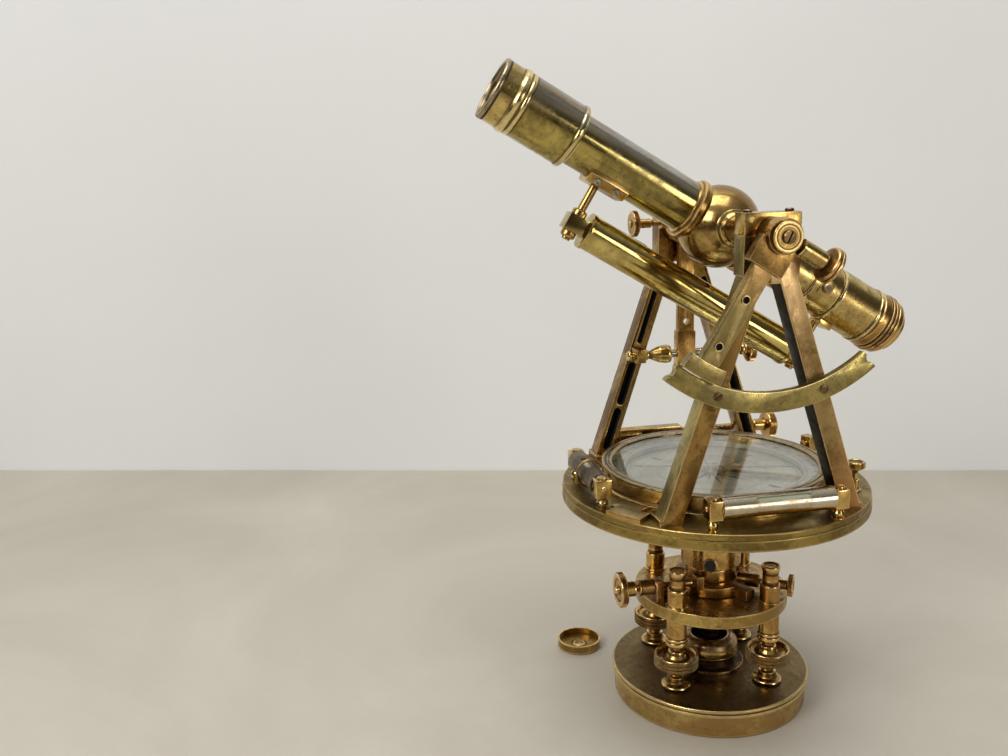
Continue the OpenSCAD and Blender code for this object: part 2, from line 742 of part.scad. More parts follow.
// Main tube of the telescope
module main_tube() {
  color(brass) at_telescope() difference() {
    union() {
      turned_y([[13.2, -108], [eye_r, -108], [eye_r, -107.4], [eye_r + 0.4, -107], [eye_r + 0.4, -105.6],
        [eye_r, -105.2], [eye_r, -81], [tube_r + 0.6, -78.4], [tube_r + 0.9, -78], [tube_r + 0.9, -76.6],
        [tube_r, -76.2], [tube_r, -60.2], [tube_r + 0.6, -60], [tube_r + 0.6, -58.6], [tube_r, -58.4],
        [tube_r, 96.4], [tube_r - 0.4, 97], [13.2, 97]]);
      translate([0, 42, 0]) rod_x(5.6, 12.6, 18.4);
    }
    rod_y(13.2, -109, 98);
    translate([0, 42, 0]) rod_x(1.9 + run, 8, 20);
    translate([0, -69, 0]) for (a = [0:90:270]) rotate([0, a, 0]) rod(1.2, 10, 16);
  }
}

// Objective slide with its barrel and cell
module objective_slide() {
  color(brass) at_telescope() {
    difference() {
      turned_y([[12.2, 16], [13.2 - run, 16], [13.2 - run, 97.3], [17.2, 97.3], [17.7, 97.9], [17.7, 100],
        [barrel_r, 100.8], [barrel_r, 129.4], [barrel_r + 0.5, 129.8], [barrel_r + 0.5, 131.6], [16.2, 132.4],
        [16.2, 134.4], [17.4, 135], [17.9, 136], [17.9, 137.6], [17.2, 138.6], [16.3, 139.4],
        [16.3, tel_front - 2.6], [17, tel_front - 2], [17, tel_front - 0.4], [16.6, tel_front],
        [14.6, tel_front], [14, tel_front - 1.4], [14, tel_front - 3], [15, tel_front - 3], [15, tel_front - 8],
        [13.6, tel_front - 8], [13.6, 101], [12.2, 101]]);
      box([8, 27, -2.7], [14, 45.5, 2.7]);
    }
    box([9.6, 26, 2.7], [12.4, 48, 4]);
  }
}

// Objective lens
module objective_glass() {
  color(clear) at_telescope() turned_y([[0, tel_front - 8], [14.9, tel_front - 8], [14.9, tel_front - 3.1],
    [14, tel_front - 3], [10, tel_front - 2.3], [5, tel_front - 1.9], [0, tel_front - 1.8]]);
}

// Focusing pinion and knob
module focus_pinion() {
  color(brass) at_telescope() translate([0, 42, 0]) turned_x([[0, 8.8], [2.4, 8.8], [2.4, 12], [1.9, 12.2],
    [1.9, 18.8], [3, 19.2], [3, 20.6], [6.6, 21], [7, 21.5], [7, 25], [6.6, 25.5], [0, 25.5]]);
}

// Reticle ring with its four capstan screws
module reticle() {
  color(brass) at_telescope() translate([0, -69, 0]) {
    turned_y([[8, -2], [11.6, -2], [11.6, 2], [8, 2]]);
    for (a = [0:90:270]) rotate([0, a, 0])
      turned([[0, 11.3], [1.2, 11.3], [1.2, tube_r + 0.4], [2.6, tube_r + 0.6], [2.8, tube_r + 1.4],
        [2.8, tube_r + 3], [2.2, tube_r + 3.8], [0, tube_r + 3.8]]);
  }
}

// Eyepiece
module eyepiece() {
  color(brass) at_telescope() mirror([0, 1, 0]) turned_y([[11.6, 88], [13.2 - run, 88], [13.2 - run, 108.3],
    [eye_r + 0.4, 108.3], [eye_r + 1, 108.8], [eye_r + 1, 112.4], [eye_r + 0.2, 112.9], [eye_r + 0.2, 113.3],
    [eye_r + 1, 113.8], [eye_r + 1, 117.6], [eye_r + 0.2, 118.2], [eye_r - 1.6, 119], [eye_r - 2, 121],
    [13, 123.4], [13, tel_back - 0.4], [12.6, tel_back], [7, tel_back], [4, tel_back - 2.4],
    [4, tel_back - 4], [11.6, tel_back - 4]]);
}

module at_level() {
  at_telescope() translate([0, 0, -lvl_drop]) children();
}

// Case of the telescope level, with a window towards the telescope
module level_case() {
  color(brass) at_level() difference() {
    union() {
      rod_y(lvl_r, lvl_back, lvl_front);
      rod_y(lvl_r + 0.5, lvl_front - 2.4, lvl_front);
      rod_y(lvl_r + 0.5, lvl_back, lvl_back + 2.4);
      box([-5.4, lvl_front - 1, -4.6], [5.4, lvl_front + 12.4, 4.6]);
      box([-5.4, lvl_back - 12.4, -4.6], [5.4, lvl_back + 1, 4.6]);
    }
    rod_y(lvl_r - 0.9, lvl_back + 2, lvl_front - 2);
    box([-3.6, -40, 0], [3.6, 32, lvl_r + 1]);
    for (y = [lvl_back - 7, lvl_front + 7]) translate([0, y, 0]) rod(2.4, -8, 8);
  }
}

module level_vial() {
  color(clear) at_level() rod_y(lvl_r - 1.05, -52, 44);
}

// Posts of the telescope level with their saddles and capstan nuts
module level_brackets() {
  color(brass) at_telescope() {
    difference() {
      box([-6, lvl_front - 9, -tube_r - 2.2], [6, lvl_front + 15, -tube_r + 4]);
      rod_y(tube_r, lvl_front - 10, lvl_front + 16);
    }
    difference() {
      box([-6, lvl_back - 15, -eye_r - 2.2], [6, lvl_back - 6.1, -eye_r + 4]);
      rod_y(eye_r, lvl_back - 16, lvl_back);
    }
    for (y = [lvl_back - 7, lvl_front + 7]) translate([0, y, 0]) {
      rod(2.4, -lvl_drop - 9.6, -(y > 0 ? tube_r : eye_r) - 1);
      turned([[2.4, -lvl_drop + 4.6], [4.2, -lvl_drop + 4.6], [4.2, -lvl_drop + 7.6], [3.4, -lvl_drop + 8.2],
        [2.4, -lvl_drop + 8.2]]);
      turned([[2.4, -lvl_drop - 4.6], [4.2, -lvl_drop - 4.6], [4.2, -lvl_drop - 7.6], [3.4, -lvl_drop - 8.2],
        [2.4, -lvl_drop - 8.2]]);
    }
  }
}

// Index arm on the end of the axle, with its vernier foot
module index_arm() {
  color(brass) at_telescope() difference() {
    union() {
      rod_x(9, -hub_x + 2.4, -std_x - 0.6);
      rod_x(7.3, -hub_x, -hub_x + 3);
      box([-hub_x + 4.4, -10, -18], [-arc_x - 1, 10, -4]);
      box([-arm_x - arm_t + 0.4, -arm_w / 2, -arc_in + 3], [-arm_x - 0.4, arm_w / 2, -17]);
      rotate([0, 90, 0]) translate([0, 0, -arm_x - arm_t]) sector(arc_in - 8.4, arc_in - foot_gap, 8.4, 0, arm_t);
    }
    rod_x(5.8, -hub_x + 1.4, -std_x);
    for (z = [-35.2, -61.2]) translate([0, 0, z]) rod_x(2.2, -arm_x - arm_t - 1, -arm_x + 1);
    translate([-77.2, 0, 0]) rod_y(2.3 + run, -12, -4);
    box([-hub_x - 1, -0.6, -4], [-hub_x + 0.8, 0.6, 4]);
  }
}

// Screw that clamps the index arm
module index_clamp_screw() {
  color(brass) at_telescope() translate([-77.2, 0, 0]) mirror([0, 1, 0]) turned_y([[0, 6.2], [2.3, 6.2],
    [2.3, 20], [3.6, 21.4], [3.6, 27], [8.6, 27.6], [9.2, 28.2], [9.2, 31.4], [8.6, 32], [2.6, 32],
    [2.2, 33.4], [0, 33.4]]);
}

// Loose dust cap of the eyepiece, lying beside the foot
module eye_cap() {
  color(brass) translate([cap_x, cap_x - 3.6, 0]) turned([[3, 0], [cap_r - 0.8, 0], [cap_r, 0.8], [cap_r, 6],
    [cap_r - 1.1, 6], [cap_r - 1.1, 1.8], [5, 1.4], [3.6, 2.2], [3, 2.2]]);
}

foot_plate();
ball_cup();
half_ball();
head_socket();
head_plate();
screw_sleeves();
levelling_screw_a();
levelling_screw_b();
levelling_screw_c();
levelling_screw_d();
shoe_a();
shoe_b();
shoe_c();
shoe_d();
lower_clamp();
lower_clamp_screw();
lower_tangent_screw();
outer_spindle();
limb();
vernier_plate();
vernier_scales();
window_frames();
compass_box();
compass_dial();
bezel();
compass_glass();
needle();
needle_lifter();
lifter_screw();
brackets();
upper_clamp();
upper_clamp_screw();
upper_tangent_screw();
plate_levels();
level_posts();
plate_vials();
standard_near();
standard_far();
bearing_caps();
small_screws();
vertical_arc();
spring_box();
plunger();
clamp_arm();
vertical_clamp_screw();
tangent_tip();
tangent_screw();
axle();
main_tube();
objective_slide();
objective_glass();
focus_pinion();
reticle();
eyepiece();
level_case();
level_vial();
level_brackets();
index_arm();
index_clamp_screw();
eye_cap();
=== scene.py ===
"""Looks of the surveyors transit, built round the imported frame.

Lengths in the builders below are millimetres in the part's own frame: +Z up, the vertical axis at
X = Y = 0 and the objective end towards +Y. Meshes are written in metres.
"""

import math

import bmesh
import bpy
from mathutils import Matrix, Vector


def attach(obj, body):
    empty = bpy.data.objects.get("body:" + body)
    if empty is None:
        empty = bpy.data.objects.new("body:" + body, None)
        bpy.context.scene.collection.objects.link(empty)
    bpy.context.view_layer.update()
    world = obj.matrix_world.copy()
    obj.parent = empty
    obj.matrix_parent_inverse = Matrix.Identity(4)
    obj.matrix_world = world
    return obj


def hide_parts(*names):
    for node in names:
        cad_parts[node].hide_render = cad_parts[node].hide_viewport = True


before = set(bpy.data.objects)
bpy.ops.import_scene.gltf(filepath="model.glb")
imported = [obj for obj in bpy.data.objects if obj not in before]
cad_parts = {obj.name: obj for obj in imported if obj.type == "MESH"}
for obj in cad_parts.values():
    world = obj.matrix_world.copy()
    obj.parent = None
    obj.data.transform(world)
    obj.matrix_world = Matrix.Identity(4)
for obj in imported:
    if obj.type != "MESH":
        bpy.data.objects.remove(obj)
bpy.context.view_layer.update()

# Heights of the telescope's axle and of the tops of head plate, limb, vernier plate and compass bezel
AXIS_H = 283.5
HEAD_TOP = 68.7
LIMB_TOP = 131.9
PLATE_TOP = 135.4
COMPASS_TOP = 147.4
# Rise of the telescope at rest, and the angles of the compass's north point and of the two verniers
RISE = 31
NORTH = 35.0
VERNIERS = (125, 305)
# Ring of the four levelling screws: its radius and the angle of the first
SCREW_RING_R = 38.8
SCREW_RING_START = 38.4
# Major radius and depth of the tripod thread, and thickness of inked shapes on the dial
THREAD_R = 45.6
THREAD_DEEP = 11
INK_H = 0.05
# Graduated face of the vertical arc, and half the lengths of the two plate levels
ARC_X = -71.6
FRONT_HALF = 31
SIDE_HALF = 23


def at(x, y, z):
    return Matrix.Translation((x, y, z))


def turn(angle, axis):
    return Matrix.Rotation(math.radians(angle), 4, axis)


HERE = Matrix.Identity(4)
ALONG_X = turn(90, "Y")
ALONG_Y = turn(-90, "X")
BACKWARDS = Matrix.Diagonal((1, -1, 1, 1))
TELESCOPE = at(0, 0, AXIS_H) @ turn(RISE, "X")
TUBE = TELESCOPE @ ALONG_Y
EYE_END = TELESCOPE @ BACKWARDS @ ALONG_Y
PINION = TELESCOPE @ at(0, 42, 0) @ ALONG_X
LOWER_TANGENT = at(-14.5, 0, 77.7) @ ALONG_Y
SLOW_MOTION = at(48, 0, 202.5)
FRONT_LEVEL = at(-76.6, -2.5, 147.4)
SIDE_LEVEL = at(-4, 77, 147.4) @ turn(90, "Z")


def radial(angle, z):
    return turn(angle, "Z") @ at(0, 0, z)


def screw_place(i):
    return turn(SCREW_RING_START + 90 * i, "Z") @ at(SCREW_RING_R, 0, 0)


# Finishes


class Finish:
    """A node material with short calls for the nodes that it is made of."""

    def __init__(self, name):
        self.material = bpy.data.materials.new(name)
        self.material.use_nodes = True
        self.nodes = self.material.node_tree.nodes
        self.links = self.material.node_tree.links
        self.surface = self.nodes["Principled BSDF"]

    def add(self, kind, inputs=None, **settings):
        node = self.nodes.new("ShaderNode" + kind)
        for key, value in settings.items():
            setattr(node, key, value)
        for key, value in (inputs or {}).items():
            if isinstance(value, bpy.types.NodeSocket):
                self.links.new(value, node.inputs[key])
            else:
                node.inputs[key].default_value = value
        return node

    def noise(self, vector, scale, detail=4.0, rough=0.55, distortion=0.0):
        return self.add("TexNoise", {"Vector": vector, "Scale": scale, "Detail": detail,
                                     "Roughness": rough, "Distortion": distortion}).outputs[0]

    def span(self, value, low, high, to_low=0.0, to_high=1.0):
        return self.add("MapRange", {0: value, 1: low, 2: high, 3: to_low, 4: to_high}).outputs[0]

    def math(self, operation, a, b=0.0):
        return self.add("Math", {0: a, 1: b}, operation=operation).outputs[0]

    def blend(self, share, a, b):
        return self.add("MixRGB", {0: share, 1: a, 2: b}).outputs[0]

    def place(self, vector, scale=(1, 1, 1), rotation=(0, 0, 0), location=(0, 0, 0)):
        return self.add("Mapping", {"Vector": vector, "Scale": scale, "Rotation": rotation,
                                    "Location": location}).outputs[0]

    def set(self, name, value):
        if isinstance(value, bpy.types.NodeSocket):
            self.links.new(value, self.surface.inputs[name])
        else:
            self.surface.inputs[name].default_value = value


def rgb(r, g, b):
    return (r, g, b, 1.0)


def metal(name, bright, main, tarnish, dark, rough=(0.22, 0.42), cover=0.5, spots=0.35, brush=0.25,
          patch=38.0, upper=None, worn=0.7, relief=0.35):
    """Old metal: main colour, patches of tarnish, dark spots, bright worn edges and dull hollows.

    rough is the roughness of clean and of tarnished metal; cover, spots, brush and worn are shares of
    tarnish, stains, brush lines and bare edges; patch is the scale of the tarnish; upper paints over the
    colour before the stains.
    """
    bright, main, tarnish, dark = (rgb(*tone) for tone in (bright, main, tarnish, dark))
    skin = Finish(name)
    place = skin.add("TexCoord").outputs["Object"]
    wear = skin.add("Attribute", attribute_name="wear").outputs["Fac"]
    grain = skin.add("Attribute", attribute_name="grain").outputs["Vector"]
    broad = skin.noise(place, patch, 7.0, 0.62, 0.4)
    small = skin.noise(place, patch * 6.5, 8.0, 0.68, 0.8)
    fine = skin.noise(place, 2100.0, 3.0, 0.6)
    lines = skin.noise(skin.place(grain, (0.22, 0.22, 5.5)), 1.0, 4.0, 0.7)
    stains = skin.math("ADD", broad, skin.math("MULTIPLY", small, 0.45))
    share = skin.span(stains, 0.74 - cover * 0.28, 0.92 - cover * 0.28)
    colour = skin.blend(share, main, tarnish)
    if upper:
        colour = upper(skin, colour, place, small)
    stain = skin.span(small, 0.60 - spots * 0.10, 0.76 - spots * 0.10)
    colour = skin.blend(skin.math("MULTIPLY", stain, spots), colour, dark)
    colour = skin.blend(skin.math("MULTIPLY", skin.span(fine, 0.60, 0.72), spots * 0.8), colour, dark)
    colour = skin.blend(skin.span(lines, 0.3, 0.7, 0.0, 0.16), colour, dark)
    edge = skin.math("MULTIPLY", skin.span(wear, 0.1, 0.9), skin.span(small, 0.34, 0.56, 0.2 * worn, worn))
    hollow = skin.math("MULTIPLY", skin.span(wear, -0.1, -0.9), skin.span(broad, 0.3, 0.6, 0.55, 0.9))
    colour = skin.blend(edge, colour, bright)
    colour = skin.blend(hollow, colour, dark)
    skin.set("Base Color", colour)
    skin.set("Metallic", 1.0)
    low, high = rough
    dull = skin.math("ADD", skin.span(share, 0.0, 1.0, low, high), skin.span(lines, 0.3, 0.7, -0.04, 0.07))
    dull = skin.math("ADD", dull, skin.math("MULTIPLY", stain, 0.10 + spots * 0.15))
    dull = skin.math("ADD", dull, skin.math("MULTIPLY", hollow, 0.2))
    skin.set("Roughness", skin.math("MAXIMUM", skin.math("SUBTRACT", dull,
                                                         skin.math("MULTIPLY", edge, 0.06)), 0.06))
    height = skin.math("ADD", skin.math("MULTIPLY", lines, brush), skin.math("MULTIPLY", small, 0.35))
    height = skin.math("ADD", height, skin.math("MULTIPLY", skin.span(fine, 0.5, 0.8), 0.2))
    skin.set("Normal", skin.add("Bump", {"Strength": relief, "Distance": 0.00012,
                                         "Height": height}).outputs[0])
    return skin.material


def tube_patina(skin, colour, place, small):
    """Silvery violet and brown streaks on the top of the telescope, fading towards the eye end, and dark
    streaks on its lower side that are a painted dark reflection.
    """
    tilt = math.radians(-RISE)
    down = (0, AXIS_H / 1000 * math.sin(tilt), -AXIS_H / 1000 * math.cos(tilt))
    local = skin.place(place, rotation=(tilt, 0, 0), location=down)
    axes = skin.add("SeparateXYZ", {0: local})
    streak = skin.noise(skin.place(local, (90.0, 9.0, 90.0)), 1.0, 6.0, 0.62, 0.3)
    veil = skin.blend(skin.span(streak, 0.42, 0.62), rgb(0.40, 0.375, 0.36), rgb(0.22, 0.16, 0.11))
    veil = skin.blend(skin.span(streak, 0.30, 0.44, 0.9, 0.0), veil, rgb(0.52, 0.55, 0.59))
    top = skin.math("ADD", axes.outputs[2], skin.math("MULTIPLY", skin.math("SUBTRACT", streak, 0.5), 0.016))
    share = skin.math("MULTIPLY", skin.span(top, 0.000, 0.009), skin.span(axes.outputs[1], -0.02, 0.03))
    colour = skin.blend(skin.math("MULTIPLY", share, skin.span(small, 0.38, 0.62, 1.0, 0.6)), colour, veil)
    # Dark streaks over the lower side of the tube: a painted dark reflection.
    painted_flank_reflection = skin.math("MULTIPLY", skin.span(streak, 0.54, 0.64), skin.span(top, 0.004, -0.004))
    return skin.blend(skin.math("MULTIPLY", painted_flank_reflection, 0.6), colour, rgb(0.20, 0.15, 0.05))


def dark_top(height, pale=1.0):
    """Turns faces above a height, in millimetres, dull brown, with a blotchy border."""
    brown, dark = rgb(0.31 * pale, 0.215 * pale, 0.09 * pale), rgb(0.17 * pale, 0.115 * pale, 0.05 * pale)

    def paint_over(skin, colour, place, small):
        z = skin.add("SeparateXYZ", {0: place}).outputs[2]
        share = skin.span(z, (height - 0.06) / 1000, (height - 0.02) / 1000)
        blot = skin.blend(skin.span(small, 0.40, 0.60), brown, dark)
        return skin.blend(skin.math("MULTIPLY", share, skin.span(small, 0.3, 0.7, 0.96, 0.8)), colour, blot)
    return paint_over


def leg_colours(skin, colour, place, small):
    """Peach where the leg meets the head, orange at its foot."""
    z = skin.math("ADD", skin.add("SeparateXYZ", {0: place}).outputs[2], skin.math("MULTIPLY", small, 0.02))
    colour = skin.blend(skin.span(z, 0.238, 0.285, 0.0, 0.9), colour, rgb(0.84, 0.57, 0.28))
    return skin.blend(skin.span(z, 0.185, 0.155, 0.0, 0.8), colour, rgb(0.40, 0.19, 0.062))


def arm_colours(skin, colour, place, small):
    """Warm brown below the hub, darker olive along the arm, greenish again at the vernier foot."""
    hub = (-0.077, 0.0, AXIS_H / 1000)
    away = skin.add("VectorMath", {0: place, 1: hub}, operation="DISTANCE").outputs["Value"]
    away = skin.math("ADD", away, skin.math("MULTIPLY", small, 0.02))
    colour = skin.blend(skin.span(away, 0.054, 0.036, 0.0, 0.75), colour, rgb(0.52, 0.32, 0.12))
    middle = skin.math("MULTIPLY", skin.span(away, 0.050, 0.062), skin.span(away, 0.092, 0.080))
    return skin.blend(skin.math("MULTIPLY", middle, 0.75), colour, rgb(0.25, 0.185, 0.07))


OLD = metal("old_brass", (0.92, 0.68, 0.30), (0.52, 0.335, 0.09), (0.31, 0.19, 0.055),
            (0.08, 0.045, 0.018), (0.20, 0.36))
GOLD = metal("gold_brass", (0.96, 0.75, 0.35), (0.68, 0.46, 0.14), (0.40, 0.25, 0.08),
             (0.10, 0.055, 0.02), (0.12, 0.27), 0.45, 0.25)
BROWN = metal("brown_brass", (0.86, 0.55, 0.24), (0.42, 0.24, 0.07), (0.22, 0.12, 0.038),
              (0.055, 0.03, 0.014), (0.20, 0.36), 0.5, 0.4)
COPPER = metal("copper_brown", (0.96, 0.66, 0.29), (0.70, 0.44, 0.135), (0.40, 0.23, 0.07),
               (0.055, 0.03, 0.015), (0.14, 0.28), 0.5, 0.35)
OLIVE = metal("olive_brass", (0.86, 0.72, 0.38), (0.46, 0.36, 0.12), (0.25, 0.20, 0.075),
              (0.07, 0.05, 0.022), (0.22, 0.38), 0.5, 0.4)
UMBER = metal("umber_brass", (0.88, 0.60, 0.28), (0.42, 0.25, 0.075), (0.20, 0.115, 0.035),
              (0.05, 0.03, 0.014), (0.20, 0.38), 0.45, 0.45)
PEACH = metal("peach_brass", (0.90, 0.66, 0.36), (0.38, 0.26, 0.105), (0.22, 0.135, 0.05),
              (0.07, 0.04, 0.02), (0.20, 0.38), 0.45, 0.3, upper=leg_colours)
ARM = metal("index_arm_brass", (0.86, 0.70, 0.36), (0.40, 0.315, 0.11), (0.23, 0.18, 0.07),
            (0.07, 0.05, 0.022), (0.22, 0.38), 0.5, 0.4, upper=arm_colours)
PALE = metal("pale_brass", (0.93, 0.89, 0.76), (0.58, 0.53, 0.40), (0.48, 0.39, 0.26),
             (0.22, 0.15, 0.09), (0.14, 0.28), 0.4, 0.2, relief=0.2)
PALE_OLIVE = metal("pale_olive_brass", (0.90, 0.74, 0.42), (0.64, 0.50, 0.24), (0.42, 0.32, 0.14),
                   (0.07, 0.05, 0.022), (0.28, 0.42), 0.5, 0.35)
SLATE = metal("slate_brass", (0.58, 0.46, 0.27), (0.21, 0.165, 0.095), (0.125, 0.09, 0.05),
              (0.04, 0.03, 0.02), (0.24, 0.42), 0.5, 0.4)
PLATE = metal("plate_brass", (0.84, 0.64, 0.28), (0.38, 0.27, 0.075), (0.21, 0.14, 0.04),
              (0.07, 0.045, 0.018), (0.28, 0.44), 0.5, 0.4, 0.5, worn=0.45)
FOOT = metal("foot_brass", (0.92, 0.72, 0.36), (0.66, 0.49, 0.17), (0.48, 0.30, 0.11),
             (0.08, 0.05, 0.02), (0.22, 0.40), 0.55, 0.4, 0.4, upper=dark_top(18, 0.6), worn=0.5)
BALL = metal("ball_brass", (0.90, 0.70, 0.33), (0.49, 0.35, 0.11), (0.33, 0.19, 0.06),
             (0.05, 0.03, 0.013), (0.10, 0.24), 0.5, 0.3, 0.2, 60.0, relief=0.25)
EYE_SKIN = metal("eye_end_brass", (0.97, 0.82, 0.44), (0.74, 0.57, 0.20), (0.45, 0.31, 0.11),
                 (0.10, 0.06, 0.025), (0.11, 0.24), 0.5, 0.4, 0.2, 60.0, relief=0.28)
MIRROR = metal("mirror_brass", (0.96, 0.82, 0.42), (0.72, 0.58, 0.20), (0.46, 0.34, 0.11),
               (0.10, 0.06, 0.02), (0.07, 0.15), 0.35, 0.12, 0.1, relief=0.08)
HEAD = metal("head_brass", (0.90, 0.68, 0.32), (0.56, 0.40, 0.12), (0.34, 0.21, 0.06),
             (0.08, 0.05, 0.02), (0.20, 0.38), 0.5, 0.35, 0.4, upper=dark_top(HEAD_TOP, 2.0), worn=0.5)
TUBE_SKIN = metal("telescope_brass", (0.92, 0.78, 0.44), (0.57, 0.45, 0.13), (0.30, 0.23, 0.07),
                  (0.08, 0.055, 0.03), (0.10, 0.24), 0.45, 0.3, 0.25, 46.0, tube_patina, 0.55, 0.22)
# Near-black brass, used only as painted shade on the inner faces of the near standard's legs.
SHADE_BLACK = metal("painted_shade_brass", (0.40, 0.28, 0.14), (0.045, 0.03, 0.016), (0.02, 0.013, 0.008),
              (0.01, 0.007, 0.004), (0.26, 0.44), 0.5, 0.3)
DARK = metal("dark_bronze", (0.50, 0.34, 0.17), (0.17, 0.095, 0.038), (0.07, 0.04, 0.02),
             (0.02, 0.013, 0.008), (0.22, 0.42), 0.5, 0.4)
STEEL = metal("bright_steel", (0.84, 0.82, 0.78), (0.58, 0.54, 0.48), (0.36, 0.32, 0.26),
              (0.09, 0.07, 0.05), (0.16, 0.34), 0.35, 0.3)
SILVER = metal("silvered", (0.88, 0.87, 0.80), (0.76, 0.74, 0.65), (0.56, 0.53, 0.44),
               (0.17, 0.15, 0.11), (0.32, 0.48), 0.4, 0.25, 0.35)


def glass(name, tint, clear=1.0):
    """Old glass with faint smears; clear is the share of light that passes."""
    skin = Finish(name)
    smear = skin.noise(skin.add("TexCoord").outputs["Object"], 60.0, 6.0, 0.6, 1.0)
    skin.set("Base Color", skin.blend(skin.span(smear, 0.35, 0.75, 0.0, 0.3), tint, rgb(0.86, 0.87, 0.84)))
    skin.set("Roughness", skin.span(smear, 0.4, 0.8, 0.02, 0.08))
    skin.set("Transmission Weight", clear)
    skin.set("IOR", 1.46)
    return skin.material


def paint(name, main, other, rough):
    """A dull black that varies a little from place to place."""
    skin = Finish(name)
    speck = skin.noise(skin.add("TexCoord").outputs["Object"], 300.0, 6.0, 0.6)
    skin.set("Base Color", skin.blend(skin.span(speck, 0.35, 0.7), main, other))
    skin.set("Roughness", skin.span(speck, 0.3, 0.7, rough, rough + 0.15))
    return skin.material


GLASS = glass("old_glass", rgb(0.95, 0.97, 0.95))
SPIRIT = glass("spirit_glass", rgb(0.52, 0.54, 0.34), clear=0.4)
INK = paint("engraving_black", rgb(0.02, 0.018, 0.015), rgb(0.05, 0.04, 0.03), 0.5)
# Black paint in the pockets of the far standard, and painted shade where it stands in for holes: capstan
# holes, the spindle's hole, the index arm's holes and the eyepiece's bore.
PAINT_AND_HOLE_SHADE = paint("pocket_paint_and_hole_shade", rgb(0.012, 0.010, 0.009), rgb(0.03, 0.024, 0.018), 0.6)


# Mesh builders


def rim(radius, low, high, cut, rise):
    """Outline points of a disc's edge, with both corners cut back by cut and rise."""
    return [(radius - cut, low - rise), (radius, low), (radius, high), (radius - cut, high + rise)]


def grooved(radius, depth, slope, *bands):
    """Outline points of an edge that sloping grooves part into bands (low, high)."""
    points = []
    for low, high in bands:
        points += rim(radius, low, high, depth, slope)
    return points[1:-1]


def rounded(points, radius):
    """A closed outline with its corners rounded; the third value is 1 on an edge and -1 in a hollow."""
    n = len(points)
    area = sum(points[i][0] * points[(i + 1) % n][1] - points[(i + 1) % n][0] * points[i][1]
               for i in range(n))
    turned = 1 if area > 0 else -1
    out = []
    for i in range(n):
        p = Vector(points[i])
        a, b = Vector(points[i - 1]) - p, Vector(points[(i + 1) % n]) - p
        if p.x < 1e-6 or a.length < 1e-6 or b.length < 1e-6:
            out.append((p.x, p.y, 0.0))
            continue
        bend = math.pi - a.angle(b)
        if bend < 0.2:
            out.append((p.x, p.y, 0.0))
            continue
        sign = 1.0 if (a.y * b.x - a.x * b.y) * turned > 0 else -1.0
        cut_a, cut_b = min(radius, 0.42 * a.length), min(radius, 0.42 * b.length)
        if a.length > 2.4:
            q = p + a.normalized() * (cut_a + min(0.7, 0.2 * a.length))
            out.append((q.x, q.y, 0.0))
        start, end = p + a.normalized() * cut_a, p + b.normalized() * cut_b
        middle = (start + end) / 4 + p / 2
        out += [(start.x, start.y, sign), (middle.x, middle.y, sign), (end.x, end.y, sign)]
        if b.length > 2.4:
            q = p + b.normalized() * (cut_b + min(0.7, 0.2 * b.length))
            out.append((q.x, q.y, 0.0))
    return out


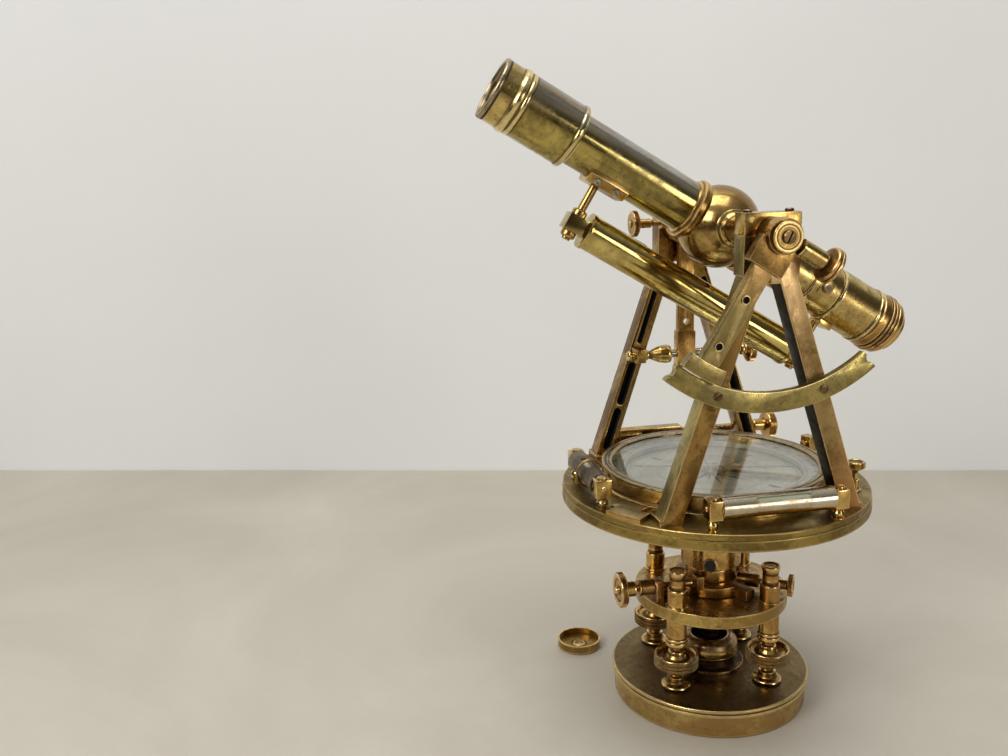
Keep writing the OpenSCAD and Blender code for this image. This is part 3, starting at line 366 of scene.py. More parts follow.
class Piece:
    """One piece of the instrument: faces gathered from several builders and written as one mesh."""

    def __init__(self, *finishes):
        self.finishes = finishes
        self.points, self.faces, self.of_finish, self.wear, self.grain = [], [], [], [], []

    def add(self, points, faces, place=HERE, finish=0, wear=None, grain=None):
        base, flip = len(self.points), place.determinant() < 0
        self.points += [place @ Vector(p) for p in points]
        for k, face in enumerate(faces):
            order = list(range(len(face)))
            if flip:
                order.reverse()
            self.faces.append([base + face[i] for i in order])
            self.of_finish.append(finish[k] if isinstance(finish, list) else finish)
            self.wear += [wear[k][i] if wear else 0.0 for i in order]
            self.grain += [grain[k][i] if grain else (0.0, 0.0, 0.0) for i in order]
        return self

    def lathe(self, outline, place=HERE, soft=0.3, finish=0, steps=None, bands=()):
        """Turned about the local Z from (radius, height) points; bands give heights another finish."""
        line = rounded(outline, soft) if soft else [(x, z, 0.0) for x, z in outline]
        big = max(p[0] for p in line)
        steps = steps or max(28, min(192, int(big * 5.2) // 4 * 4))
        points, rings = [], []
        for r, z, _ in line:
            if r < 1e-6:
                rings.append([len(points)] * steps)
                points.append((0, 0, z))
            else:
                rings.append(list(range(len(points), len(points) + steps)))
                points += [(r * math.cos(math.tau * k / steps), r * math.sin(math.tau * k / steps), z)
                           for k in range(steps)]
        n = len(line)
        area = sum(line[i][0] * line[(i + 1) % n][1] - line[(i + 1) % n][0] * line[i][1] for i in range(n))
        run, along = [0.0], 0.0
        for i in range(n):
            j = (i + 1) % n
            along += math.dist(line[i][:2], line[j][:2])
            run.append(along)
        faces, wear, grain, finishes = [], [], [], []
        small = min(3.0, big * 0.3)
        for i in range(n):
            j = (i + 1) % n
            if line[i][0] < 1e-6 and line[j][0] < 1e-6:
                continue
            middle = (line[i][1] + line[j][1]) / 2
            own = next((b[2] for b in bands if b[0] <= middle <= b[1]), finish)
            for k in range(steps):
                finishes.append(own)
                m = (k + 1) % steps
                corners = [(rings[i][k], i, k, 0), (rings[i][m], i, m, 0),
                           (rings[j][m], j, m, 1), (rings[j][k], j, k, 1)]
                if line[i][0] < 1e-6:
                    corners = [corners[0], corners[2], corners[3]]
                elif line[j][0] < 1e-6:
                    corners = corners[:3]
                if area < 0:
                    corners.reverse()
                faces.append([c[0] for c in corners])
                wear.append([line[c[1]][2] for c in corners])
                grain.append([(small * math.cos(math.tau * c[2] / steps),
                               small * math.sin(math.tau * c[2] / steps), run[i + c[3]]) for c in corners])
        return self.add(points, faces, place, finishes, wear, grain)

    def ring(self, inner, outer, low, high, place=HERE, finish=0, soft=0.0, steps=None):
        """A plain collar about the local Z, or a rod where inner is 0."""
        return self.lathe([(inner, low), (outer, low), (outer, high), (inner, high)], place, soft, finish,
                          steps)

    def shape(self, bm, place=HERE, finish=0, soft=0.3, along=(0, 0, 1)):
        """A bmesh in millimetres with its outer edges softened; along is the way its grain runs.

        A finish given as a function picks the finish of a face from its normal and its middle.
        """
        marks = bm.faces.layers.int.new("mark")
        edges = [e for e in bm.edges
                 if len(e.link_faces) == 2 and e.calc_face_angle(0) > math.radians(38) and e.is_convex]
        if soft and edges:
            made = bmesh.ops.bevel(bm, geom=edges, offset=soft, offset_type="OFFSET", segments=2, profile=0.6,
                                   affect="EDGES", clamp_overlap=False)
            for face in made["faces"]:
                face[marks] = 1
        bm.verts.index_update()
        way = Vector(along)
        side = way.cross(Vector((0.31, 0.87, 0.38))).normalized()
        third = way.cross(side)
        points = [v.co.copy() for v in bm.verts]
        faces, wear, grain, finishes = [], [], [], []
        for face in bm.faces:
            faces.append([v.index for v in face.verts])
            finishes.append(finish(face.normal, face.calc_center_median()) if callable(finish) else finish)
            wear.append([float(face[marks])] * len(face.verts))
            across = side if abs(face.normal.dot(third)) > abs(face.normal.dot(side)) else third
            grain.append([(v.co.dot(way) * 0.25, round(face.normal.dot(side) * 3), v.co.dot(across))
                          for v in face.verts])
        bm.free()
        return self.add(points, faces, place, finishes, wear, grain)

    def node(self, name, soft=0.3, finish=0, along=(0, 0, 1), cut=None, split=None):
        """The CAD node's own shape, merged, with softened edges.

        cut leaves out what lies beyond a plane, and split parts its faces along a plane, so that each
        side can have its own finish.
        """
        bm = bmesh.new()
        bm.from_mesh(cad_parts[name].data)
        bmesh.ops.scale(bm, vec=(1000, 1000, 1000), verts=bm.verts)
        bmesh.ops.remove_doubles(bm, verts=bm.verts, dist=0.003)
        if cut:
            bmesh.ops.bisect_plane(bm, geom=bm.verts[:] + bm.edges[:] + bm.faces[:], plane_co=cut[0],
                                   plane_no=cut[1], clear_outer=True)
            bmesh.ops.triangle_fill(bm, edges=[e for e in bm.edges if e.is_boundary], use_beauty=True)
        bmesh.ops.dissolve_limit(bm, angle_limit=math.radians(1.2), verts=bm.verts, edges=bm.edges)
        if split:
            bmesh.ops.bisect_plane(bm, geom=bm.verts[:] + bm.edges[:] + bm.faces[:], plane_co=split[0],
                                   plane_no=split[1])
        return self.shape(bm, HERE, finish, soft, along)

    def slab(self, outline, low, high, place=HERE, finish=0, soft=0.3, along=(0, 0, 1)):
        """A flat outline in the local XY, given thickness along the local Z."""
        bm = bmesh.new()
        bottom = [bm.verts.new((x, y, low)) for x, y in outline]
        face = bm.faces.new(bottom)
        made = bmesh.ops.extrude_face_region(bm, geom=[face])
        bmesh.ops.translate(bm, vec=(0, 0, high - low), verts=[v for v in made["geom"]
                                                               if isinstance(v, bmesh.types.BMVert)])
        bmesh.ops.recalc_face_normals(bm, faces=bm.faces)
        return self.shape(bm, place, finish, soft, along)

    def box(self, low, high, place=HERE, finish=0, soft=0.3, along=(0, 0, 1)):
        return self.slab([(low[0], low[1]), (high[0], low[1]), (high[0], high[1]), (low[0], high[1])],
                         low[2], high[2], place, finish, soft, along)

    def take(self, mesh, place=HERE, finish=0, wear=0.0):
        """Faces of a mesh made by a node tree or from figures, in millimetres."""
        points = [v.co.copy() for v in mesh.vertices]
        faces = [list(p.vertices) for p in mesh.polygons]
        return self.add(points, faces, place, finish, [[wear] * len(f) for f in faces],
                        [[tuple(points[i]) for i in f] for f in faces])

    def mesh(self, name):
        mesh = bpy.data.meshes.new(name)
        mesh.from_pydata([p * 0.001 for p in self.points], [], self.faces)
        for finish in self.finishes:
            mesh.materials.append(finish)
        mesh.polygons.foreach_set("material_index", self.of_finish)
        mesh.attributes.new("wear", "FLOAT", "CORNER").data.foreach_set("value", self.wear)
        flat = [c for g in self.grain for c in g]
        mesh.attributes.new("grain", "FLOAT_VECTOR", "CORNER").data.foreach_set("vector", flat)
        mesh.validate()
        mesh.shade_smooth()
        mesh.set_sharp_from_angle(angle=math.radians(32))
        return mesh

    def stand(self, name, body, nodes):
        """Writes the mesh, sets it on its body and lets it stand for its CAD nodes."""
        thing = bpy.data.objects.new(name, self.mesh(name))
        bpy.context.scene.collection.objects.link(thing)
        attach(thing, body)
        if nodes:
            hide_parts(*nodes)
        return thing


# Node trees for what repeats


class Grower:
    """A geometry node tree with named sizes; grow() returns its mesh for the sizes given."""

    def __init__(self, name, sizes):
        self.group = bpy.data.node_groups.new(name, "GeometryNodeTree")
        self.group.interface.new_socket("Points", in_out="INPUT", socket_type="NodeSocketGeometry")
        self.keys = {}
        for label, value in sizes.items():
            kind = "NodeSocketInt" if isinstance(value, int) else "NodeSocketFloat"
            socket = self.group.interface.new_socket(label, in_out="INPUT", socket_type=kind)
            socket.default_value = value
            self.keys[label] = socket.identifier
        self.group.interface.new_socket("Mesh", in_out="OUTPUT", socket_type="NodeSocketGeometry")
        self.start = self.group.nodes.new("NodeGroupInput")
        self.end = self.group.nodes.new("NodeGroupOutput")

    def size(self, label):
        return self.start.outputs[label]

    def add(self, kind, inputs=None, **settings):
        node = self.group.nodes.new(kind)
        for key, value in settings.items():
            setattr(node, key, value)
        for key, value in (inputs or {}).items():
            if isinstance(value, bpy.types.NodeSocket):
                self.group.links.new(value, node.inputs[key])
            else:
                node.inputs[key].default_value = value
        return node

    def math(self, operation, a, b=0.0):
        return self.add("ShaderNodeMath", {0: a, 1: b}, operation=operation).outputs[0]

    def finish(self, geometry, material):
        real = self.add("GeometryNodeRealizeInstances", {"Geometry": geometry}).outputs[0]
        painted = self.add("GeometryNodeSetMaterial", {"Geometry": real, "Material": material}).outputs[0]
        self.group.links.new(painted, self.end.inputs[0])
        return self

    def grow(self, **sizes):
        seed = bpy.data.meshes.new("seed")
        seed.from_pydata([(0, 0, 0)], [], [])
        thing = bpy.data.objects.new("seed", seed)
        bpy.context.scene.collection.objects.link(thing)
        step = thing.modifiers.new("grow", "NODES")
        step.node_group = self.group
        for label, value in sizes.items():
            step[self.keys[label]] = value
        graph = bpy.context.evaluated_depsgraph_get()
        mesh = bpy.data.meshes.new_from_object(thing.evaluated_get(graph), preserve_all_data_layers=True,
                                               depsgraph=graph)
        bpy.data.objects.remove(thing)
        bpy.data.meshes.remove(seed)
        return mesh


def milled_edge():
    g = Grower("milled_edge", {"Radius": 10.0, "Width": 1.2, "Depth": 0.3, "Teeth": 60})
    ring = g.add("GeometryNodeMeshCircle", {"Vertices": g.size("Teeth"),
                                            "Radius": g.size("Radius")}).outputs[0]
    tooth = g.add("GeometryNodeMeshCylinder", {"Vertices": 3, "Radius": g.size("Depth"),
                                               "Depth": g.size("Width")}).outputs[0]
    outward = g.add("FunctionNodeAlignRotationToVector",
                    {"Vector": g.add("GeometryNodeInputPosition").outputs[0]}, axis="X",
                    pivot_axis="Z").outputs[0]
    teeth = g.add("GeometryNodeInstanceOnPoints", {"Points": ring, "Instance": tooth,
                                                   "Rotation": outward}).outputs[0]
    return g.finish(teeth, OLD)


def graduations():
    g = Grower("graduations", {"Radius": 80.0, "Start": 0.0, "Step": 1.0, "Count": 30, "Short": 1.0,
                               "Long": 2.0, "Width": 0.15, "Height": 0.1, "Every": 10})
    line = g.add("GeometryNodeMeshLine", {"Count": g.size("Count")}).outputs[0]
    index = g.add("GeometryNodeInputIndex").outputs[0]
    angle = g.math("RADIANS", g.math("ADD", g.size("Start"), g.math("MULTIPLY", index, g.size("Step"))))
    every = g.math("FLOORED_MODULO", index, g.size("Every"))
    half = g.math("FLOORED_MODULO", g.math("MULTIPLY", index, 2.0), g.size("Every"))
    is_long = g.math("LESS_THAN", every, 0.5)
    is_mid = g.math("LESS_THAN", half, 0.5)
    extra = g.math("MULTIPLY", g.math("SUBTRACT", g.size("Long"), g.size("Short")),
                   g.math("ADD", g.math("MULTIPLY", is_long, 0.5), g.math("MULTIPLY", is_mid, 0.5)))
    length = g.math("ADD", g.size("Short"), extra)
    reach = g.math("ADD", g.size("Radius"), g.math("MULTIPLY", length, 0.5))
    spot = g.add("ShaderNodeCombineXYZ", {0: g.math("MULTIPLY", reach, g.math("COSINE", angle)),
                                          1: g.math("MULTIPLY", reach, g.math("SINE", angle))}).outputs[0]
    placed = g.add("GeometryNodeSetPosition", {"Geometry": line, "Position": spot}).outputs[0]
    tick = g.add("GeometryNodeMeshCube", {"Size": (1, 1, 1)}).outputs[0]
    spin = g.add("ShaderNodeCombineXYZ", {2: angle}).outputs[0]
    grow = g.add("ShaderNodeCombineXYZ", {0: length, 1: g.size("Width"), 2: g.size("Height")}).outputs[0]
    ticks = g.add("GeometryNodeInstanceOnPoints", {"Points": placed, "Instance": tick, "Rotation": spin,
                                                   "Scale": grow}).outputs[0]
    return g.finish(ticks, INK)


def screw_thread():
    g = Grower("screw_thread", {"Radius": 2.0, "Length": 10.0, "Pitch": 0.8, "Depth": 0.25})
    turns = g.math("DIVIDE", g.size("Length"), g.size("Pitch"))
    coil = g.add("GeometryNodeCurveSpiral", {"Resolution": 20, "Rotations": turns,
                                             "Start Radius": g.size("Radius"),
                                             "End Radius": g.size("Radius"),
                                             "Height": g.size("Length")}).outputs[0]
    ridge = g.add("GeometryNodeCurvePrimitiveCircle", {"Resolution": 4, "Radius": g.size("Depth")},
                  mode="RADIUS").outputs[0]
    body = g.add("GeometryNodeCurveToMesh", {"Curve": coil, "Profile Curve": ridge,
                                             "Fill Caps": True}).outputs[0]
    return g.finish(body, STEEL)


MILLED, MARKS, THREAD = milled_edge(), graduations(), screw_thread()


def milled(piece, place, radius, low, high, pitch, depth):
    """A milled band round a head, from low to high along the axis of place."""
    teeth = MILLED.grow(Radius=radius - depth * 0.35, Width=high - low, Depth=depth,
                        Teeth=int(math.tau * radius / pitch))
    return piece.take(teeth, place @ at(0, 0, (low + high) / 2), 1, 0.6)


def heads(piece, place, points, radius, height, slot=0.45, seed=3, finish=0):
    """Domed screw heads, each with a slot between its two halves and a floor under the slot."""
    for k, spot in enumerate(points):
        here = place @ at(*spot) @ turn((seed * 47 + k * 71) % 180, "Z")
        for half in (0, 180):
            outline, steps = [], 14
            start = math.asin(slot / 2 / radius)
            for m in range(steps + 1):
                a = start + (math.pi - 2 * start) * m / steps
                outline.append((radius * math.cos(a), radius * math.sin(a)))
            top = [(x * 0.80, slot / 2 + (y - slot / 2) * 0.80, height) for x, y in outline]
            mid = [(x * 0.97, slot / 2 + (y - slot / 2) * 0.97, height * 0.72) for x, y in outline]
            points_here = [(x, y, 0) for x, y in outline] + mid + top
            n = len(outline)
            faces = [[r * n + m, r * n + (m + 1) % n, (r + 1) * n + (m + 1) % n, (r + 1) * n + m]
                     for r in (0, 1) for m in range(n)]
            faces += [list(range(n - 1, -1, -1)), [2 * n + m for m in range(n)]]
            wear = [[0.0] * 4] * n + [[0.6] * 4] * n + [[0.0] * n, [0.3] * n]
            grain = [[tuple(points_here[m]) for m in f] for f in faces]
            piece.add(points_here, faces, here @ turn(half, "Z"), finish, wear, grain)
        piece.ring(0, radius * 0.96, 0.02, height * 0.3, here, finish, 0, 24)
    return piece


def thread(piece, place, radius, low, high, finish):
    """The ridge of a fine thread, from low to high along the axis of place."""
    ridge = THREAD.grow(Radius=radius, Length=high - low, Pitch=0.7, Depth=0.22)
    return piece.take(ridge, place @ at(0, 0, low), finish, 0.3)


def capstan_holes(piece, place, radius, reach, steps):
    """Two crossed holes through a capstan nut, as rods of black painted shade that end flush with its wall.
    """
    for angle in (0, 90):
        piece.ring(0, radius, -reach, reach, place @ turn(angle, "Z") @ ALONG_X, 1, 0, steps)


def wire(piece, points, radius, place=HERE, finish=0):
    """A thin round wire in a closed loop along points."""
    curve = bpy.data.curves.new("wire", "CURVE")
    curve.dimensions = "3D"
    curve.bevel_depth = radius
    curve.bevel_resolution = 2
    curve.use_fill_caps = True
    spline = curve.splines.new("NURBS")
    spline.points.add(len(points) - 1)
    for p, co in zip(spline.points, points):
        p.co = (*co, 1)
    spline.use_cyclic_u = True
    spline.order_u = 3
    thing = bpy.data.objects.new("wire", curve)
    bpy.context.scene.collection.objects.link(thing)
    graph = bpy.context.evaluated_depsgraph_get()
    mesh = bpy.data.meshes.new_from_object(thing.evaluated_get(graph))
    bpy.data.objects.remove(thing)
    return piece.take(mesh, place, finish, 0.4)


def figures(text, size):
    """A plain number as a thin mesh, centred on the origin."""
    curve = bpy.data.curves.new("figures", "FONT")
    curve.body = text
    curve.size = size
    curve.extrude = 0.02
    curve.align_x = "CENTER"
    curve.align_y = "CENTER"
    thing = bpy.data.objects.new("figures", curve)
    bpy.context.scene.collection.objects.link(thing)
    graph = bpy.context.evaluated_depsgraph_get()
    mesh = bpy.data.meshes.new_from_object(thing.evaluated_get(graph))
    bpy.data.objects.remove(thing)
    return mesh


# Levelling head


def make_foot_plate():
    piece = Piece(FOOT, BROWN)
    piece.lathe([(THREAD_R, 0), (56.4, 0), (57.4, 1), (57.4, 13), (58.6, 13),
                 *grooved(59, 0.8, 0.3, (13.4, 15), (16.3, 17.5)), (58.5, 18), (10, 18), (10, THREAD_DEEP),
                 (THREAD_R, THREAD_DEEP)], soft=0.25)
    rows, steps, pitch, run_out, ridge = 44, 144, 3.175, 1.2, 1.1
    points = []
    for i in range(rows + 1):
        z = THREAD_DEEP * i / rows
        fade = min(1, z / run_out, (THREAD_DEEP - z) / run_out)
        for k in range(steps):
            a = math.tau * k / steps
            wave = abs(((z / pitch - k / steps) % 1) * 2 - 1)
            r = THREAD_R + 0.02 - ridge * wave * max(0, fade)
            points.append((r * math.cos(a), r * math.sin(a), z))
    faces = []
    for i in range(rows):
        for k in range(steps):
            m = (k + 1) % steps
            faces.append([i * steps + k, (i + 1) * steps + k, (i + 1) * steps + m, i * steps + m])
    piece.add(points, faces, HERE, 1)
    piece.stand("foot_plate_turned", "base", ["foot_plate"])


def make_ball_cup():
    piece = Piece(DARK, GOLD)
    # The gold band round the widest part of the cup, from 27 to 31.4 mm, is a painted highlight.
    piece.lathe([(9.7, 18), (21, 18), (21, 20.2), (17.6, 20.8), (16.9, 21.8), (16.9, 25.6), (17.2, 25.9),
                 (17.2, 26.5), (16.9, 26.8), (17.1, 27.4), (17.4, 29.6), (17.1, 32), (16.2, 34.2),
                 (14.6, 35.6), (12.8, 36.4), (10.9, 36.4), (12.4, 32), (13.1, 27), (12, 21), (9.7, 18.4)],
                soft=0.25, bands=((27, 31.4, 1),))
    piece.stand("ball_cup_turned", "base", ["ball_cup"])


def make_head_socket():
    piece = Piece(BROWN)
    radius, centre = 8.95, 27
    ball = [(radius * math.sin(math.radians(a)), centre - radius * math.cos(math.radians(a)))
            for a in range(0, 137, 8)]
    piece.lathe(ball + [(6.2, 34), (6.2, 38), (7.4, 41), (12.6, 44), (13.5, 45.5), (13.5, HEAD_TOP),
                        (9.05, HEAD_TOP), (9.05, 43.5), (0, 43.5)])
    piece.stand("head_socket_turned", "levelling_head", ["head_socket"])


def make_head_plate():
    piece = Piece(HEAD, BROWN)
    piece.lathe([(13.5, 61), (44.9, 61), (45.2, 61.4), (45.2, HEAD_TOP - 0.3), (45, HEAD_TOP),
                 (13.5, HEAD_TOP)], soft=0.2)
    piece.box((-18.5, 36.5, HEAD_TOP - 0.5), (-10.5, 40.5, 81.9), finish=1)
    piece.lathe([(2.1, 40), (4.9, 40), (4.9, 41), (4.5, 41.3), (4.5, 49.6), (4.9, 50), (4.9, 51), (2.1, 51)],
                LOWER_TANGENT, finish=1)
    piece.stand("head_plate_dressed", "levelling_head", ["head_plate"])


def make_screw_sleeves():
    piece = Piece(COPPER, GOLD)
    for i in range(4):
        place = screw_place(i)
        piece.lathe([(3.45, 44.5), (6.1, 44.5), *grooved(6.5, 0.3, 0.3, (45, 47), (48, 49.3)), (5.9, 49.7),
                     (5.8, 50.2), (5.8, 79), (5.4, 79.6), (4.6, 79.9), (4.5, 81), (4.7, 82), (3.45, 82)],
                    place)
        piece.lathe([(3.45, 82), (4.6, 82), (4.5, 86), (4.8, 87.4), (5.3, 89), (5.4, 90.4), (5, 91),
                     (4.4, 91), (3.9, 90.5), (0, 90.3), (0, 88), (3.45, 88)], place)
        piece.lathe([(5.7, HEAD_TOP), (6.7, HEAD_TOP), (6.7, HEAD_TOP + 0.5), (6.3, HEAD_TOP + 0.9),
                     (5.7, HEAD_TOP + 0.9)], place, finish=1, soft=0.12)
    piece.stand("screw_sleeves_turned", "levelling_head", ["screw_sleeves"])


def make_levelling_screw(letter, place):
    """A levelling screw with its three milled discs, and the shoe under its tip."""
    discs = ((31.9, 33.3), (34.1, 35.5), (36.3, 38.3))
    name = "levelling_screw_" + letter
    piece = Piece(COPPER, SLATE)
    piece.lathe([(0, 18.8), (1.8, 19.3), (3, 20.5), (3.5, 22.3), (3.1, 24), (2.5, 24.8), (2.5, 25.2),
                 (4, 25.6), (4, 29), (8, 29.8), (11.8, 31.4), *grooved(12.4, 0.7, 0.3, *discs),
                 (12.2, 38.7), (11.4, 38.7), (10.3, 37), (7.6, 36.2), (6.4, 37), (4.9, 39.2), (4.6, 40.8),
                 (3.4, 41.4), (3.4, 77.4), (2.8, 78), (0, 78)], place, 0.2)
    for low, high in discs:
        milled(piece, place, 12.7, low, high, 0.75, 0.3)
    piece.stand(name + "_turned", name, [name])
    piece = Piece(GOLD)
    piece.lathe([(0, 18), (0.3, 18), (8.4, 18.95), (8.6, 19.2), (8.2, 20), (5.6, 21), (5, 22), (5, 24.6),
                 (2.65, 24.6), (2.65, 24.3), (3.55, 22.3), (2.2, 19.6), (0, 18.75)], place, 0.15)
    piece.stand("shoe_" + letter + "_turned", "shoe_" + letter, ["shoe_" + letter])


def knob(name, node, outline, place, band, finishes=(COPPER, BROWN), threaded=None, bands=()):
    """A turned screw with milled bands (radius, low, high) and a thread (radius, low, high) on its shank."""
    piece = Piece(*finishes)
    piece.lathe(outline, place, 0.25, bands=bands)
    for radius, low, high in band:
        milled(piece, place, radius, low, high, 0.7, 0.26)
    if threaded:
        thread(piece, place, *threaded, finish=len(finishes) - 1)
    piece.stand(name, node, [node])


def make_lower_motion():
    piece = Piece(BROWN)
    piece.node("lower_clamp", 0.3, along=(1, 0, 0))
    for angle in (196, 211):
        heads(piece, radial(angle, HEAD_TOP + 3.5) @ at(22.3, 0, 0) @ ALONG_X, [(0, 0, 0)], 1.5, 0.7)
    piece.stand("lower_clamp_dressed", "lower_clamp", ["lower_clamp"])
    knob("lower_clamp_screw_turned", "lower_clamp_screw",
         [(0, 15.4), (1.6, 15.4), (1.6, 38), (2.8, 39), (2.8, 45.4), *rim(6.1, 46, 48.4, 0.4, 0.4),
          (3.2, 48.8), (2.6, 48.4), (0, 48.4)], radial(236, HEAD_TOP + 5.8) @ ALONG_X, [(6.3, 46, 48.4)],
         threaded=(1.5, 26, 37))
    knob("lower_tangent_screw_turned", "lower_tangent_screw",
         [(0, 16.75), (1.4, 16.75), (2, 18), (2, 52), (4.4, 53), (4.4, 58.4), *rim(9.7, 59.6, 62.6, 0.5, 0.6),
          (7.6, 63.2), (6.4, 62.4), (2.6, 62.4), (2.2, 63.4), (1.8, 64.6), (0, 64.6)],
         LOWER_TANGENT, [(10, 59.8, 62.4)], threaded=(1.85, 18.5, 36))


# Centres and plates


def make_outer_spindle():
    piece = Piece(COPPER, BROWN, PAINT_AND_HOLE_SHADE)
    piece.lathe([(0, 44), (8, 44), (9, 45), (9, 68.8), (14.9, 68.8), (14.9, 74), (14.6, 74.3), (14.6, 74.9),
                 (14.9, 75.2), (14.9, 82.8), (14.3, 83.2), (14.3, 83.7), (17.3, 84), (17.7, 84.4),
                 (17.7, 98), (19, 104), (24, 114), (30, 121), (32, 124), (32, 128.4), (14, 128.4),
                 (14, LIMB_TOP), (5.55, LIMB_TOP), (5.55, 57), (0, 57)])
    hole = radial(156, 87.6) @ ALONG_X
    piece.lathe([(0, 16), (4.4, 16), (4.4, 17.9), (3.4, 18.2), (0, 18.2)], hole, 0.15, 1)
    # The black disc in the hole is painted shade.
    piece.ring(0, 3.4, 17, 18.35, hole, 2)
    piece.stand("outer_spindle_turned", "limb", ["outer_spindle"])


def make_limb_and_plate():
    piece = Piece(PLATE)
    piece.lathe([(14, 128.4), (70, 128.4), (73, 125.9), (88.6, 125.9), (89, 126.3), (89, LIMB_TOP),
                 (14, LIMB_TOP)], soft=0.25)
    piece.stand("limb_turned", "limb", ["limb"])
    piece = Piece(PLATE)
    piece.node("vernier_plate", 0.18, along=(1, 0, 0))
    piece.stand("vernier_plate_dressed", "alidade", ["vernier_plate"])


def make_verniers():
    piece = Piece(SILVER, INK)
    piece.node("vernier_scales", 0.1)
    for angle in VERNIERS:
        piece.take(MARKS.grow(Radius=78.4, Start=-5.5, Step=0.25, Count=45, Short=1.2, Long=2.4, Width=0.09,
                              Height=0.03, Every=10), turn(angle, "Z") @ at(0, 0, 133.52), 1)
    piece.stand("vernier_scales_divided", "alidade", ["vernier_scales"])
    piece = Piece(PALE_OLIVE, COPPER)
    for angle in VERNIERS:
        for turned, inner, outer, half, thick in ((-4.7, 67.9, 79, 6.6, 1.8), (0, 76.8, 88.2, 7.3, 2.8)):
            arc = [math.radians(-half + 2 * half * m / 12) for m in range(13)]
            outline = [(outer * math.cos(a), outer * math.sin(a)) for a in arc]
            outline += [(inner * math.cos(a), inner * math.sin(a)) for a in reversed(arc)]
            piece.slab(outline, PLATE_TOP, PLATE_TOP + thick, turn(angle + turned, "Z"),
                       lambda normal, middle: 0 if normal.z > 0.5 else 1, 0.3, (1, 0, 0))
    piece.stand("vernier_covers_stepped", "alidade", ["window_frames"])


# Compass


def make_compass_case():
    step, shelf = COMPASS_TOP - 1.4, COMPASS_TOP - 3.2
    piece = Piece(GOLD)
    piece.lathe([(60.3, PLATE_TOP), (67, PLATE_TOP), (67, PLATE_TOP + 2.2), (65.4, PLATE_TOP + 2.6),
                 (65, PLATE_TOP + 3.2), (65, step), (61.6, step), (61.6, shelf), (60.3, shelf)], soft=0.2)
    piece.stand("compass_box_turned", "alidade", ["compass_box"])
    piece = Piece(SLATE)
    piece.lathe([(59.4, COMPASS_TOP - 1.2), (65.3, step), (65.4, COMPASS_TOP - 0.5), (64.8, COMPASS_TOP),
                 (63.4, COMPASS_TOP), (63.1, COMPASS_TOP - 0.3), (62.6, COMPASS_TOP - 0.3),
                 (62.3, COMPASS_TOP), (61, COMPASS_TOP), (59.4, COMPASS_TOP - 0.8)], soft=0.15)
    piece.stand("bezel_turned", "alidade", ["bezel"])


def compass_point(piece, place, tip, waist):
    """A point of the star: one half inked, the other outlined by thin strokes."""
    root, stroke = 4, 0.07
    piece.slab([(root, -waist * 0.5), (tip, 0), (root, 0)], 0, INK_H, place, 1, 0)
    corners = [(root, 0), (tip, 0), (root, waist * 0.5)]
    for start, end in zip(corners, corners[1:] + corners[:1]):
        way = Vector((end[0] - start[0], end[1] - start[1]))
        off = Vector((-way.y, way.x)).normalized() * stroke
        piece.slab([(start[0] - off.x, start[1] - off.y), (end[0] - off.x, end[1] - off.y),
                    (end[0] + off.x, end[1] + off.y), (start[0] + off.x, start[1] + off.y)], 0, INK_H,
                   place, 1, 0)


def make_dial():
    piece = Piece(SILVER, INK)
    low = PLATE_TOP + 0.1
    piece.lathe([(16.4, low), (60.3, low), (60.3, low + 6.5), (51.6, low + 6.5), (51.6, low + 2.8),
                 (3, low + 2.8), (2.6, low + 3.5), (0.9, low + 3.9), (0.7, low + 6.1), (0.15, low + 6.9),
                 (0, low + 6.9), (0, low + 1.8), (16.4, low + 1.8)], soft=0.15)
    piece.take(MARKS.grow(Radius=52.0, Start=NORTH, Step=1.0, Count=360, Short=1.8, Long=3.6, Width=0.16,
                          Height=0.05, Every=10), at(0, 0, low + 6.52), 1)
    for k in range(36):
        value = min(k % 18, 18 - k % 18) * 10
        piece.take(figures(str(value), 3.0), turn(NORTH + 10 * k, "Z") @ at(57.8, 0, low + 6.55)
                   @ turn(-90, "Z"), 1)
    floor = low + 2.82
    for k in range(16):
        tip, waist = (30, 3.4) if k % 4 == 0 else ((23, 2.8) if k % 2 == 0 else (16, 2))
        compass_point(piece, turn(NORTH + 22.5 * k, "Z") @ at(0, 0, floor), tip, waist)
    for r in (31.5, 32.6, 48.6, 49.6):
        piece.ring(r, r + 0.14, floor - 0.05, floor + 0.03, finish=1, steps=128)
    arrow = [(4.6, 0), (1.2, 1.4), (-3.2, 0.9), (-3.2, -0.9), (1.2, -1.4)]
    bar = [(3, -2), (3, 2), (1.6, 2), (1.6, 0.6), (-2.6, 0.6), (-2.6, -0.6), (1.6, -0.6), (1.6, -2)]
    for k in range(4):
        piece.slab(bar if k % 2 else arrow, 0, INK_H, turn(NORTH + 90 * k, "Z") @ at(40, 0, floor), 1, 0)
    heads(piece, at(0, 0, floor - 0.02), [(9, 8, 0), (-9, -8, 0)], 1.5, 0.6)
    piece.stand("compass_dial_divided", "alidade", ["compass_dial"])


def make_needle():
    """The needle, with the wire that balances it wound on its south end, and the lifter's milled head."""
    piece = Piece(STEEL, GOLD)
    piece.node("needle", 0.08, along=(0.3, 1, 0))
    reach, way, coil = -15.5, math.radians(74), 0.9
    loop = []
    for k in range(8):
        t = math.tau * k / 8
        loop.append((reach * math.cos(way) + coil * math.cos(t), reach * math.sin(way),
                     PLATE_TOP + 6.45 + coil * math.sin(t)))
    wire(piece, loop, 0.12, finish=1)
    piece.stand("needle_dressed", "needle", ["needle"])
    knob("lifter_screw_turned", "lifter_screw",
         [(0, 136.8), (1.5, 136.8), (1.5, 146.6), (2.2, 147.8), (4.4, 148.6), (5, 149.2), (5, 152.4),
          (4.7, 152.8), (4.1, 152.8), (3.6, 152.2), (1.6, 151.8), (0, 151.7)], turn(239.5, "Z")
         @ at(79, 0, 0), [(5.2, 149.4, 152.3)], (GOLD, OLD))


# Fittings on the vernier plate


